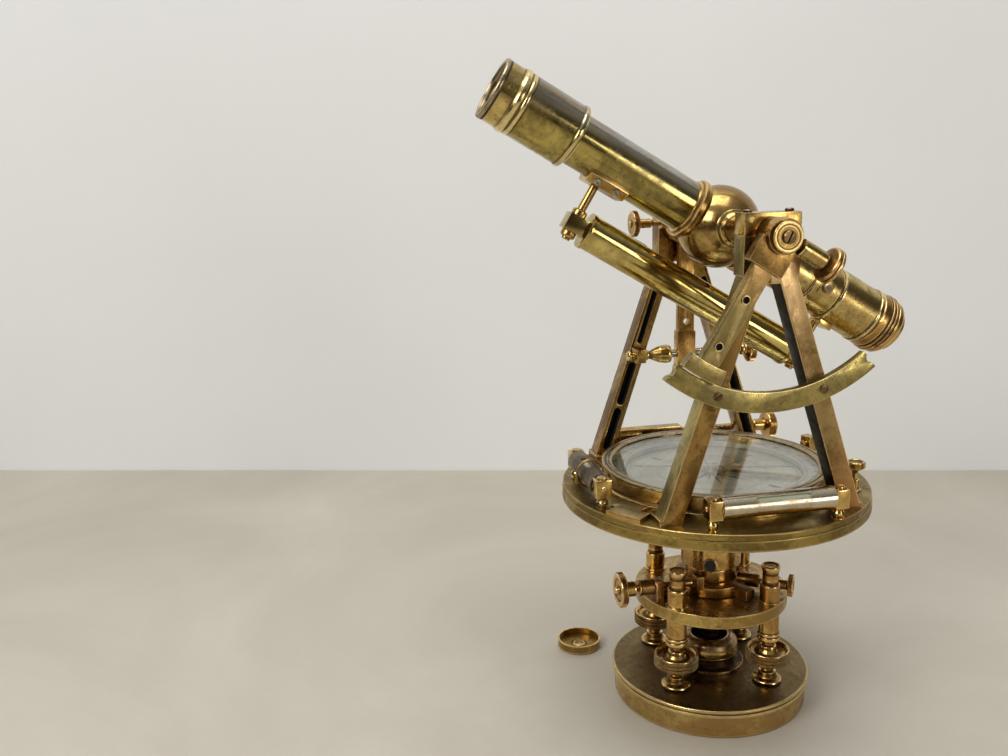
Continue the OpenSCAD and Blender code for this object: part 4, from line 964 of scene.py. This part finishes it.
def make_plate_fittings():
    piece = Piece(GOLD)
    piece.node("brackets", 0.3)
    heads(piece, HERE, [(74.5, -33.5, PLATE_TOP + 2), (74.5, -21.4, PLATE_TOP + 2)], 1.6, 0.8, seed=5)
    piece.stand("brackets_dressed", "alidade", ["brackets"])
    piece = Piece(GOLD)
    piece.node("upper_clamp", 0.35, along=(0, 1, 0))
    heads(piece, HERE, [(85, 5, PLATE_TOP + 6), (85, 15, PLATE_TOP + 6)], 1.8, 0.9, seed=2)
    piece.stand("upper_clamp_dressed", "upper_clamp", ["upper_clamp"])
    knob("upper_clamp_screw_turned", "upper_clamp_screw",
         [(0, 68.6), (2, 68.6), (2, 79), (3.4, 79.6), (3.4, 82), *rim(7.3, 83, 85.6, 0.4, 0.6), (5.4, 86.2),
          (4.6, 85.6), (0, 85.6)], radial(285, PLATE_TOP + 11) @ ALONG_X, [(7.6, 83, 85.6)], (GOLD, COPPER))
    knob("upper_tangent_screw_turned", "upper_tangent_screw",
         [(0, 2), (2.4, 2), (2.4, 12), (2.5, 12.4), (2.5, 58), (4, 60), (4, 68),
          *rim(9, 69.2, 73.4, 0.4, 0.6), (3, 74), (2.6, 75.6), (0, 75.6)], at(74.5, 0, PLATE_TOP + 8.4)
         @ BACKWARDS @ ALONG_Y, [(9.3, 69.4, 73.2)], (COPPER, BROWN, STEEL), threaded=(2.35, 33, 56))


def slotted_tube(piece, place, outer, inner, half, slot, lean, skin):
    """A tube along the local Y with a round-ended slot (from, to, half its width), leaning from the top."""
    low, high, wide = slot
    steps = 48
    ends = [wide * (1 - math.cos(math.radians(15 * k))) for k in range(7)]
    stations = [-half] + [low + e for e in ends] + [high - e for e in reversed(ends)] + [half]
    points, index, faces, wear, grain, finishes = [], {}, [], [], [], []

    def opening(y):
        if y <= low or y >= high:
            return 0.0
        beyond = max(0, wide - y + low, wide - high + y)
        return math.asin(math.sqrt(max(0.0, wide ** 2 - beyond ** 2)) / outer)

    def corner(radius, k, y):
        gap = opening(y)
        a = gap + (math.tau - 2 * gap) * k / steps + math.radians(lean)
        point = (round(-radius * math.sin(a), 4), round(y, 4), round(radius * math.cos(a), 4))
        if point not in index:
            index[point] = len(points)
            points.append(point)
        return index[point], float(gap > 0 and k in (0, steps)), (y * 0.25, 0.0, radius * a), a

    def face(*corners):
        if len({c[0] for c in corners}) == len(corners):
            faces.append([c[0] for c in corners])
            wear.append([c[1] for c in corners])
            grain.append([c[2] for c in corners])
            finishes.append(skin(math.cos(corners[0][3])))

    for a, b in zip(stations, stations[1:]):
        for k in range(steps):
            face(corner(outer, k, a), corner(outer, k, b), corner(outer, k + 1, b), corner(outer, k + 1, a))
            face(corner(inner, k, a), corner(inner, k + 1, a), corner(inner, k + 1, b), corner(inner, k, b))
        if opening(a) or opening(b):
            for k, way in ((0, 1), (steps, -1)):
                face(*[corner(outer, k, a), corner(inner, k, a), corner(inner, k, b),
                       corner(outer, k, b)][::way])
    for y, way in ((-half, 1), (half, -1)):
        for k in range(steps):
            face(*[corner(outer, k, y), corner(outer, k + 1, y), corner(inner, k + 1, y),
                   corner(inner, k, y)][::way])
    piece.add(points, faces, place, finishes, wear, grain)


def make_level_tubes():
    piece = Piece(PALE, SLATE, GOLD, COPPER, UMBER)
    for finish, half, place in ((2, FRONT_HALF, FRONT_LEVEL), (1, SIDE_HALF, SIDE_LEVEL)):
        for end in (-1, 1):
            for a, b in ((half - 1.6, half - 0.2), (half - 3.0, half - 2.4)):
                low, high = sorted((end * a, end * b))
                piece.ring(5.2, 5.95, low, high, place @ ALONG_Y, finish, 0.12)
    slotted_tube(piece, FRONT_LEVEL, 6.1, 5.1, FRONT_HALF, (-17, 13, 1.7), 44, lambda up: 3 if up < -0.25
                 else 0)
    slotted_tube(piece, SIDE_LEVEL, 6.0, 5.1, SIDE_HALF, (-9, 8, 1.8), -12, lambda up: 1)
    for k in range(2):
        hoop = [(8.0 * math.cos(a) + 0.3 * k, 2 + 1.5 * k + 0.6 * math.sin(2 * a), 8.2 * math.sin(a) + 0.3)
                for a in [math.tau * m / 14 for m in range(14)]]
        wire(piece, hoop, 0.5, SIDE_LEVEL, 4)
    piece.stand("plate_level_tubes", "alidade", ["plate_levels"])


def make_level_posts():
    piece = Piece(GOLD, PAINT_AND_HOLE_SHADE)
    piece.node("level_posts", 0.5)
    for half, place in ((FRONT_HALF, FRONT_LEVEL), (SIDE_HALF, SIDE_LEVEL)):
        for end in (-1, 1):
            post = place @ at(0, end * (half + 3.8), 0)
            piece.lathe([(0, -11), (1.6, -10.8), (2.6, -10.2), (3.3, -8.8), (3.3, -8.4), (2.6, -7),
                         (1.7, -6.2), (1.9, -5.2), (0, -5.2)], post, 0.1)
            capstan_holes(piece, post @ at(0, 0, -8.6) @ turn(25, "Z"), 0.75, 3.36, 16)
            outward = ALONG_Y if end > 0 else BACKWARDS @ ALONG_Y
            piece.lathe([(0, 0), (1.5, 0), (1.5, 0.5), (1.1, 0.9), (0, 1)], place
                        @ at(0, end * (half + 7.2), 0) @ outward, 0.1)
    piece.stand("level_posts_dressed", "alidade", ["level_posts"])


def make_plate_vials():
    piece = Piece(SPIRIT)
    for half, place in ((FRONT_HALF - 3, FRONT_LEVEL), (SIDE_HALF - 3, SIDE_LEVEL)):
        piece.lathe([(0, -half), (3.2, -half), (4.4, -half + 1.4), (4.65, -half + 3), (4.65, half - 3),
                     (4.4, half - 1.4), (3.2, half), (0, half)], place @ ALONG_Y, 0.2)
    piece.stand("plate_vials_blown", "alidade", ["plate_vials"])


# Standards and vertical motion


def near_faces(normal, middle):
    """Peach and umber on the legs' outer faces, black painted shade on the faces between them, olive outside,
    gold elsewhere.
    """
    if normal.x < -0.6:
        return 2 if middle.y < 0 else 1
    if abs(normal.y) > 0.6:
        # Faces that look towards the other leg get the black of painted shade.
        return 4 if normal.y * middle.y < 0 else 0
    return 3


def far_faces(normal, middle):
    """Black in the pockets of the legs, old brass towards the telescope, umber elsewhere."""
    if abs(middle.x - 59) < 0.4 or (normal.x < -0.5 and middle.x > 60):
        return 1
    return 2 if normal.x < -0.6 else 0


def make_standards():
    piece = Piece(OLIVE, UMBER, PEACH, GOLD, SHADE_BLACK)
    piece.node("standard_near", 0.45, near_faces, split=((0, 0, 0), (0, 1, 0)))
    piece.stand("standard_near_dressed", "alidade", ["standard_near"])
    piece = Piece(UMBER, PAINT_AND_HOLE_SHADE, OLD)
    piece.node("standard_far", 0.45, far_faces)
    piece.stand("standard_far_dressed", "alidade", ["standard_far"])
    piece = Piece(GOLD)
    piece.node("bearing_caps", 0.5, along=(1, 0, 0))
    piece.stand("bearing_caps_dressed", "alidade", ["bearing_caps"])


def make_small_screws():
    """Cap screws, arc screws and foot screws of the standards."""
    piece = Piece(DARK)
    for x in (-61, 61):
        heads(piece, HERE, [(x, -11.2, AXIS_H + 10.9), (x, 11.2, AXIS_H + 10.9)], 2.3, 1.5, seed=4)
    for angle in (-20, 20):
        place = at(0, 0, AXIS_H) @ turn(angle, "X") @ at(ARC_X, 0, -84.3) @ turn(-90, "Y")
        heads(piece, place @ at(0, 0, -0.1), [(0, 0, 0)], 2.6, 0.6, 0.6, 6 + angle)
    for side in (-1, 1):
        feet = [(side * 52.5, y, PLATE_TOP + 3.5) for y in (-50.5, 50.5)]
        heads(piece, HERE, feet, 1.9, 1.0, seed=9 + side)
    piece.stand("small_screws_slotted", "alidade", ["small_screws"])


def make_vertical_arc():
    piece = Piece(OLIVE, INK)
    piece.node("vertical_arc", 0.3, along=(0, 1, 0))
    piece.take(MARKS.grow(Radius=79.4, Start=180 - 36, Step=1.0, Count=73, Short=1.6, Long=3.4, Width=0.14,
                          Height=0.04, Every=10), at(ARC_X, 0, AXIS_H) @ turn(-90, "Y"), 1)
    piece.stand("vertical_arc_divided", "alidade", ["vertical_arc"])


def make_vertical_motion():
    piece = Piece(GOLD)
    piece.lathe([(3.7, 10.2), (5.6, 10.2), (5.8, 12), (5.2, 17), (3.6, 20.4), (2.6, 22.4), (2.6, 24),
                 (3.3, 24.4), (3.3, 26.4), (2.4, 26.4), (2.4, 35), (3.2, 35.3), (3.2, 36.6), (2.2, 37.6),
                 (0, 37.8), (0, 21.4), (3.7, 19)], SLOW_MOTION @ ALONG_Y, 0.2)
    piece.stand("spring_box_turned", "alidade", ["spring_box"])
    piece = Piece(COPPER)
    piece.node("clamp_arm", 0.35)
    piece.stand("clamp_arm_dressed", "clamp_arm", ["clamp_arm"])
    knob("vertical_clamp_screw_turned", "vertical_clamp_screw",
         [(0, 8.9), (1.6, 8.9), (1.6, 22), (2.8, 23), (2.8, 31), *rim(7.3, 32, 34.6, 0.4, 0.6), (2, 35.2),
          (1.6, 36.4), (0, 36.4)], at(48, 0, AXIS_H) @ ALONG_Y, [(7.6, 32, 34.6)])
    knob("tangent_screw_turned", "tangent_screw",
         [(0, 9.5), (2.5, 9.5), (2.5, 37.2), (3.6, 37.4), (3.6, 39), (3, 39.4), (3.6, 39.8), (3.6, 41),
          *rim(7.7, 42, 45.2, 0.6, 0.6), (2.4, 45.8), (2, 47.4), (0, 47.4)], SLOW_MOTION @ BACKWARDS
         @ ALONG_Y, [(8, 42, 45.2)], (COPPER, BROWN, STEEL), threaded=(2.3, 11, 24))


# Telescope


def make_axle():
    """The cross axle with its hollow ball, the collars of the telescope on it and the two journals."""
    piece = Piece(BALL, COPPER)
    radius, mouth = 23, 14.2
    ball = [(radius * math.sin(math.radians(a)), -radius * math.cos(math.radians(a)))
            for a in range(40, 141, 5)]
    piece.lathe([(mouth, -18.1)] + ball + [(mouth, 18.1)], TUBE, 0, steps=160)
    for place in (TUBE, EYE_END):
        piece.lathe([(mouth, 17.2), (16.6, 17.6), (17.2, 18.6), (17.2, 21.2), (15.6, 22), (15.4, 23.4),
                     (mouth, 23.6)], place, 0.15, 1)
    axis = at(0, 0, AXIS_H)
    for place in (axis @ ALONG_X, axis @ Matrix.Diagonal((-1, 1, 1, 1)) @ ALONG_X):
        piece.lathe([(0, 20.4), (10.6, 20.8), (10.6, 21.6), (9.4, 22.2), (9.2, 24), (7.6, 26), (7.6, 54.7),
                     (7, 54.7), (7, 67.3), (0, 67.3)], place, 0.25)
    piece.ring(0, 5.8, -82, -66, axis @ ALONG_X, 0, 0.2)
    piece.stand("axle_turned", "telescope", ["axle"])


def make_main_tube():
    piece = Piece(TUBE_SKIN, EYE_SKIN)
    piece.lathe([(13.2, -108), (16.3, -108), (16.3, -107.4), (17, -107), (17, -105.8), (16.3, -105.2),
                 (16.3, -80.4), (16, -79.4), (15.1, -79.2), (15.1, -78.8), (15.4, -78.6), (15.4, -62),
                 (14.7, -61.4), (14.7, -61), (14.2, -60.8), (14.2, 0), (14.2, 96.4), (13.8, 97),
                 (13.2, 97)], TUBE, 0.25, bands=((-110, -1, 1),))
    piece.lathe([(0, 12.9), (5.6, 12.9), (5.6, 17), (5.0, 18.4), (1.95, 18.4), (1.95, 14), (0, 14)], PINION,
                0.3, 1)
    piece.stand("main_tube_turned", "telescope", ["main_tube"])


def make_objective():
    piece = Piece(TUBE_SKIN, EYE_SKIN, SLATE)
    piece.lathe([(12.2, 48), (13.15, 48), (13.15, 97.3), (17.2, 97.3), (17.7, 97.9), (17.7, 99.6),
                 (17.1, 100.4), (17.1, 129.6), (17.5, 130.2), (17.5, 131.6), (17.0, 132.2), (17.0, 132.8),
                 (17.9, 133.6), (17.9, 135.6), (17.2, 136.6), (16.8, 137.4), (16.8, 145.6), (17, 146.2),
                 (17, 147.4), (16.6, 148), (14.9, 148), (14.3, 147), (14, 146.4), (14, 145), (15, 145),
                 (15, 140), (13.6, 140), (13.6, 101), (12.2, 101)], TUBE, 0.18,
                bands=((144, 149, 2), (129.9, 144, 1)))
    inner_end = TELESCOPE @ Vector((0, 48.5, 0)), TELESCOPE.to_3x3() @ Vector((0, 1, 0))
    piece.node("objective_slide", 0, cut=inner_end)
    piece.stand("objective_slide_turned", "objective", ["objective_slide"])
    piece = Piece(GLASS)
    piece.lathe([(0, 140.2), (14.9, 140.2), (14.9, 144.9), (14, 145), (12, 145.4), (10, 145.7), (7.5, 145.95),
                 (5, 146.1), (2.5, 146.18), (0, 146.2)], TUBE, 0, steps=96)
    piece.stand("objective_glass_ground", "objective", ["objective_glass"])
    knob("focus_pinion_turned", "focus_pinion",
         [(0, 8.8), (2.4, 8.8), (2.4, 12), (1.9, 12.2), (1.9, 18.8), (3, 19.2), (3, 20.6),
          *rim(6.7, 21.5, 25, 0.4, 0.5), (4.6, 25.5), (4, 24.9), (0, 24.9)], PINION, [(7, 21.5, 25)])


def make_reticle():
    """The ring of the cross hairs with four capstan screws, each on a square plate outside the tube."""
    piece = Piece(GOLD, PAINT_AND_HOLE_SHADE, SLATE)
    piece.ring(8, 11.6, -71, -67, TUBE, 0, 0.2)
    for angle in (0, 90, 180, 270):
        place = TELESCOPE @ at(0, -69, 0) @ turn(angle, "Y")
        piece.lathe([(0, 11.3), (1.2, 11.3), (1.2, 15.4), (2.8, 15.6), (3, 16.2), (3, 17.4), (2.4, 18.2),
                     (0, 18.2)], place, 0.15, 2)
        piece.box((-4.6, -4.2, 14.2), (4.6, 4.2, 15.9), place, 0, 0.4)
        capstan_holes(piece, place @ at(0, 0, 16.4) @ turn(20, "Z"), 0.55, 2.86, 14)
    piece.stand("reticle_dressed", "telescope", ["reticle"])


def make_eyepiece():
    piece = Piece(COPPER, UMBER, PAINT_AND_HOLE_SHADE)
    rings = ((114.7, 115.7), (117.1, 118.1))
    piece.lathe([(11.6, 88), (13.15, 88), (13.15, 108.3), (16.2, 108.3), (16.8, 108.8), (16.9, 113.2),
                 (16.3, 113.7), (16.3, 114.3), *grooved(17.1, 0.8, 0.4, *rings), (16.2, 118.6),
                 (16.2, 119.1), (16.8, 119.6), (16.5, 122.2), (15.4, 123.8), (13.7, 124.4), (13, 125),
                 (13, 126.6), (12.6, 127), (7, 127), (4, 124.6), (4, 123), (11.6, 123)], EYE_END, 0.22,
                bands=((113.5, 119.2, 1),))
    for low, high in rings:
        milled(piece, EYE_END, 17.3, low, high, 0.7, 0.24)
    # A black disc across the bore is painted shade inside the eyepiece.
    piece.ring(0, 11.6, 121.8, 122.2, EYE_END, 2)
    piece.stand("eyepiece_turned", "eyepiece", ["eyepiece"])


def make_telescope_level():
    piece = Piece(MIRROR)
    piece.node("level_case", 0.2, along=(0, 1, 0.6))
    piece.stand("level_case_dressed", "telescope", ["level_case"])
    piece = Piece(SPIRIT)
    piece.lathe([(0, -52), (6, -52), (8, -50), (8.7, -47), (8.7, 39), (8, 42), (6, 44), (0, 44)],
                TELESCOPE @ at(0, 0, -39) @ ALONG_Y, 0.3)
    piece.stand("level_vial_blown", "telescope", ["level_vial"])
    piece = Piece(GOLD, STEEL)
    piece.node("level_brackets", 0.25)
    flange = [(-10.2, -8.6), (-11, -12), (-6.6, -16.4), (6.6, -16.4), (11, -12), (10.2, -8.6)]
    seat = [(14.25 * math.sin(a), -14.25 * math.cos(a)) for a in [math.radians(44 - 8 * m)
                                                                  for m in range(12)]]
    piece.slab(flange + seat, -82, -58, TELESCOPE @ turn(90, "X"))
    for y in (64, 76):
        heads(piece, TELESCOPE @ at(-8.9, y, -14.3) @ turn(225, "Y"), [(0, 0, 0)], 2.1, 0.8, 0.6, 5, 1)
    piece.stand("level_brackets_dressed", "telescope", ["level_brackets"])


def index_faces(normal, middle):
    """The arm's own brass away from the hub, umber on the hub's block, copper round its barrel."""
    reach = math.hypot(middle.y, middle.z - AXIS_H)
    if reach > 17:
        return 0
    return 4 if abs(normal.x) < 0.5 and reach < 10 else 1


def make_index():
    piece = Piece(ARM, UMBER, OLD, PAINT_AND_HOLE_SHADE, COPPER, DARK)
    piece.node("index_arm", 0.3, index_faces)
    hub = at(0, 0, AXIS_H) @ turn(-90, "Y")
    piece.lathe([(0, 82.6), (7.8, 82.6), (7.8, 83.2), (7.4, 83.5), (6.3, 83.5), (6.1, 83.3), (5.7, 83.3),
                 (5.5, 83.5), (0, 83.5)], hub, 0.1, 2)
    heads(piece, hub @ at(0, 0, 83.3), [(0, 0, 0)], 3.4, 1.8, 0.8, 11, 5)
    for z in (-35.2, -61.2):
        hole = TELESCOPE @ at(0, 0, z) @ ALONG_X
        # A black disc inside each hole is painted shade; the ring round it is the hole's rim.
        piece.ring(0, 2.15, -75, -74.2, hole, 3)
        piece.ring(1.8, 2.3, -77.75, -77.5, hole, 0, 0.08)
    piece.stand("index_arm_dressed", "telescope", ["index_arm"])
    knob("index_clamp_screw_turned", "index_clamp_screw",
         [(0, 6.2), (2.3, 6.2), (2.3, 10.6), (4.6, 10.8), (4.6, 25.4), (4.2, 25.8), (4.2, 26.8),
          (8.6, 27.4), *grooved(9.2, 0.6, 0.3, (28, 29.2), (30.2, 31.4)), (8.6, 32), (6, 32), (5, 31.4),
          (2.6, 31.4), (2.2, 33.4), (0, 33.4)], TELESCOPE @ at(-77.2, 0, 0) @ BACKWARDS @ ALONG_Y, [],
         (BROWN, EYE_SKIN), bands=((10.7, 25.6, 1),))


def make_eye_cap():
    piece = Piece(OLD)
    piece.lathe([(3, 0), (13.4, 0), (14.2, 0.8), (14.2, 6), (13.1, 6), (13.1, 1.8), (5, 1.4), (3.6, 2.2),
                 (3, 2.2)], at(68, 64.4, 0), 0.25)
    piece.stand("eye_cap_turned", "eye_cap", ["eye_cap"])


# Studio


def link(name, data):
    thing = bpy.data.objects.new(name, data)
    bpy.context.scene.collection.objects.link(thing)
    return thing


def make_camera():
    """The camera of the photograph: its place and the way it looks, with a slight roll."""
    camera = link("camera", bpy.data.cameras.new("camera"))
    camera.data.sensor_width = 36
    camera.data.lens = 34.29
    camera.data.clip_start = 0.01
    ahead = Vector((0.95889, -0.17945, -0.21985))
    right, up = Vector((-0.18395, -0.98294, 0)), Vector((0.21610, -0.04044, 0.97553))
    roll = math.radians(-1.5)
    x = right * math.cos(roll) + up * math.sin(roll)
    y = -right * math.sin(roll) + up * math.cos(roll)
    camera.matrix_world = Matrix((x, y, -ahead)).transposed().to_4x4()
    camera.matrix_world.translation = (-0.5102, 0.2197, 0.3220)
    bpy.context.scene.camera = camera


def washed(name, size, first, second, rough):
    """A matt finish of two near colours for the floor or the wall."""
    skin = Finish(name)
    wash = skin.noise(skin.add("TexCoord").outputs["Object"], *size)
    skin.set("Base Color", skin.blend(skin.span(wash, 0.35, 0.7), first, second))
    skin.set("Roughness", rough)
    return skin


def make_room():
    """Floor and wall in metres; the wall is clear from behind, so that it hides nothing in other views."""
    floor = washed("floor", (3.0, 8.0, 0.6, 0.6), rgb(0.43, 0.395, 0.325), rgb(0.55, 0.51, 0.435), 0.55)
    wall = washed("wall", (2.0, 4.0, 0.5), rgb(0.82, 0.83, 0.82), rgb(0.87, 0.88, 0.87), 0.8)
    clear = wall.add("MixShader", {0: wall.add("NewGeometry").outputs["Backfacing"],
                                   1: wall.surface.outputs[0], 2: wall.add("BsdfTransparent").outputs[0]})
    wall.links.new(clear.outputs[0], wall.nodes["Material Output"].inputs[0])
    away, side = Vector((0.9642, -0.2652, 0)), Vector((0.2652, 0.9642, 0))
    near, corner, half_width, height = -2.6, 0.427, 3, 2.8
    line = [(near, 0), (corner, 0), (corner, height)]
    points = [tuple(away * d + side * s + Vector((0, 0, h))) for d, h in line
              for s in (-half_width, half_width)]
    mesh = bpy.data.meshes.new("room")
    mesh.from_pydata(points, [], [[0, 2, 3, 1], [2, 4, 5, 3]])
    mesh.materials.append(floor.material)
    mesh.materials.append(wall.material)
    mesh.polygons.foreach_set("material_index", [0, 1])
    link("room", mesh)


def make_light():
    """A world that is dark below and pale above, and three soft lamps (place and aim in metres)."""
    world = bpy.data.worlds.new("studio")
    bpy.context.scene.world = world
    world.use_nodes = True
    sky = world.node_tree
    split = sky.nodes.new("ShaderNodeSeparateXYZ")
    sky.links.new(sky.nodes.new("ShaderNodeTexCoord").outputs["Generated"], split.inputs[0])
    ramp = sky.nodes.new("ShaderNodeValToRGB")
    stops = ramp.color_ramp.elements
    stops[0].position, stops[0].color = 0.0, (0.07, 0.055, 0.045, 1)
    stops[1].position, stops[1].color = 0.85, (0.80, 0.82, 0.84, 1)
    stops.new(0.42).color = (0.13, 0.115, 0.10, 1)
    sky.links.new(split.outputs[2], ramp.inputs[0])
    sky.links.new(ramp.outputs[0], sky.nodes["Background"].inputs[0])
    sky.nodes["Background"].inputs[1].default_value = 0.6
    for name, place, aim, size, power, tint in (
            ("window", (-0.9, 1.5, 1.35), (0, 0, 0.2), (1.0, 0.8), 19.5, (1.0, 0.98, 0.96)),
            ("ceiling", (-0.2, 0.1, 1.9), (0, 0, 0.2), (1.2, 0.9), 16, (1.0, 0.99, 0.98)),
            ("fill", (-1.55, -0.85, 0.42), (0, 0, 0.25), (0.5, 0.7), 5, (1.0, 0.96, 0.90))):
        lamp = bpy.data.lights.new(name, "AREA")
        lamp.shape = "RECTANGLE"
        lamp.size, lamp.size_y = size
        lamp.energy = power
        lamp.color = tint
        thing = link(name, lamp)
        thing.location = place
        thing.rotation_mode = "QUATERNION"
        thing.rotation_quaternion = (Vector(aim) - Vector(place)).to_track_quat("-Z", "Y")
    bpy.context.scene.view_settings.view_transform = "Standard"


make_camera()
make_room()
make_light()
make_foot_plate()
make_ball_cup()
make_head_socket()
make_head_plate()
make_screw_sleeves()
for number, letter in enumerate("abcd"):
    make_levelling_screw(letter, screw_place(number))
make_lower_motion()
make_outer_spindle()
make_limb_and_plate()
make_verniers()
make_compass_case()
make_dial()
make_needle()
make_plate_fittings()
make_level_tubes()
make_level_posts()
make_plate_vials()
make_standards()
make_small_screws()
make_vertical_arc()
make_vertical_motion()
make_axle()
make_main_tube()
make_objective()
make_reticle()
make_eyepiece()
make_telescope_level()
make_index()
make_eye_cap()

for name, finish in (("half_ball", DARK), ("compass_glass", GLASS), ("needle_lifter", GOLD),
                     ("plunger", STEEL), ("tangent_tip", STEEL)):
    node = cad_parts[name]
    node.data.materials.clear()
    node.data.materials.append(finish)
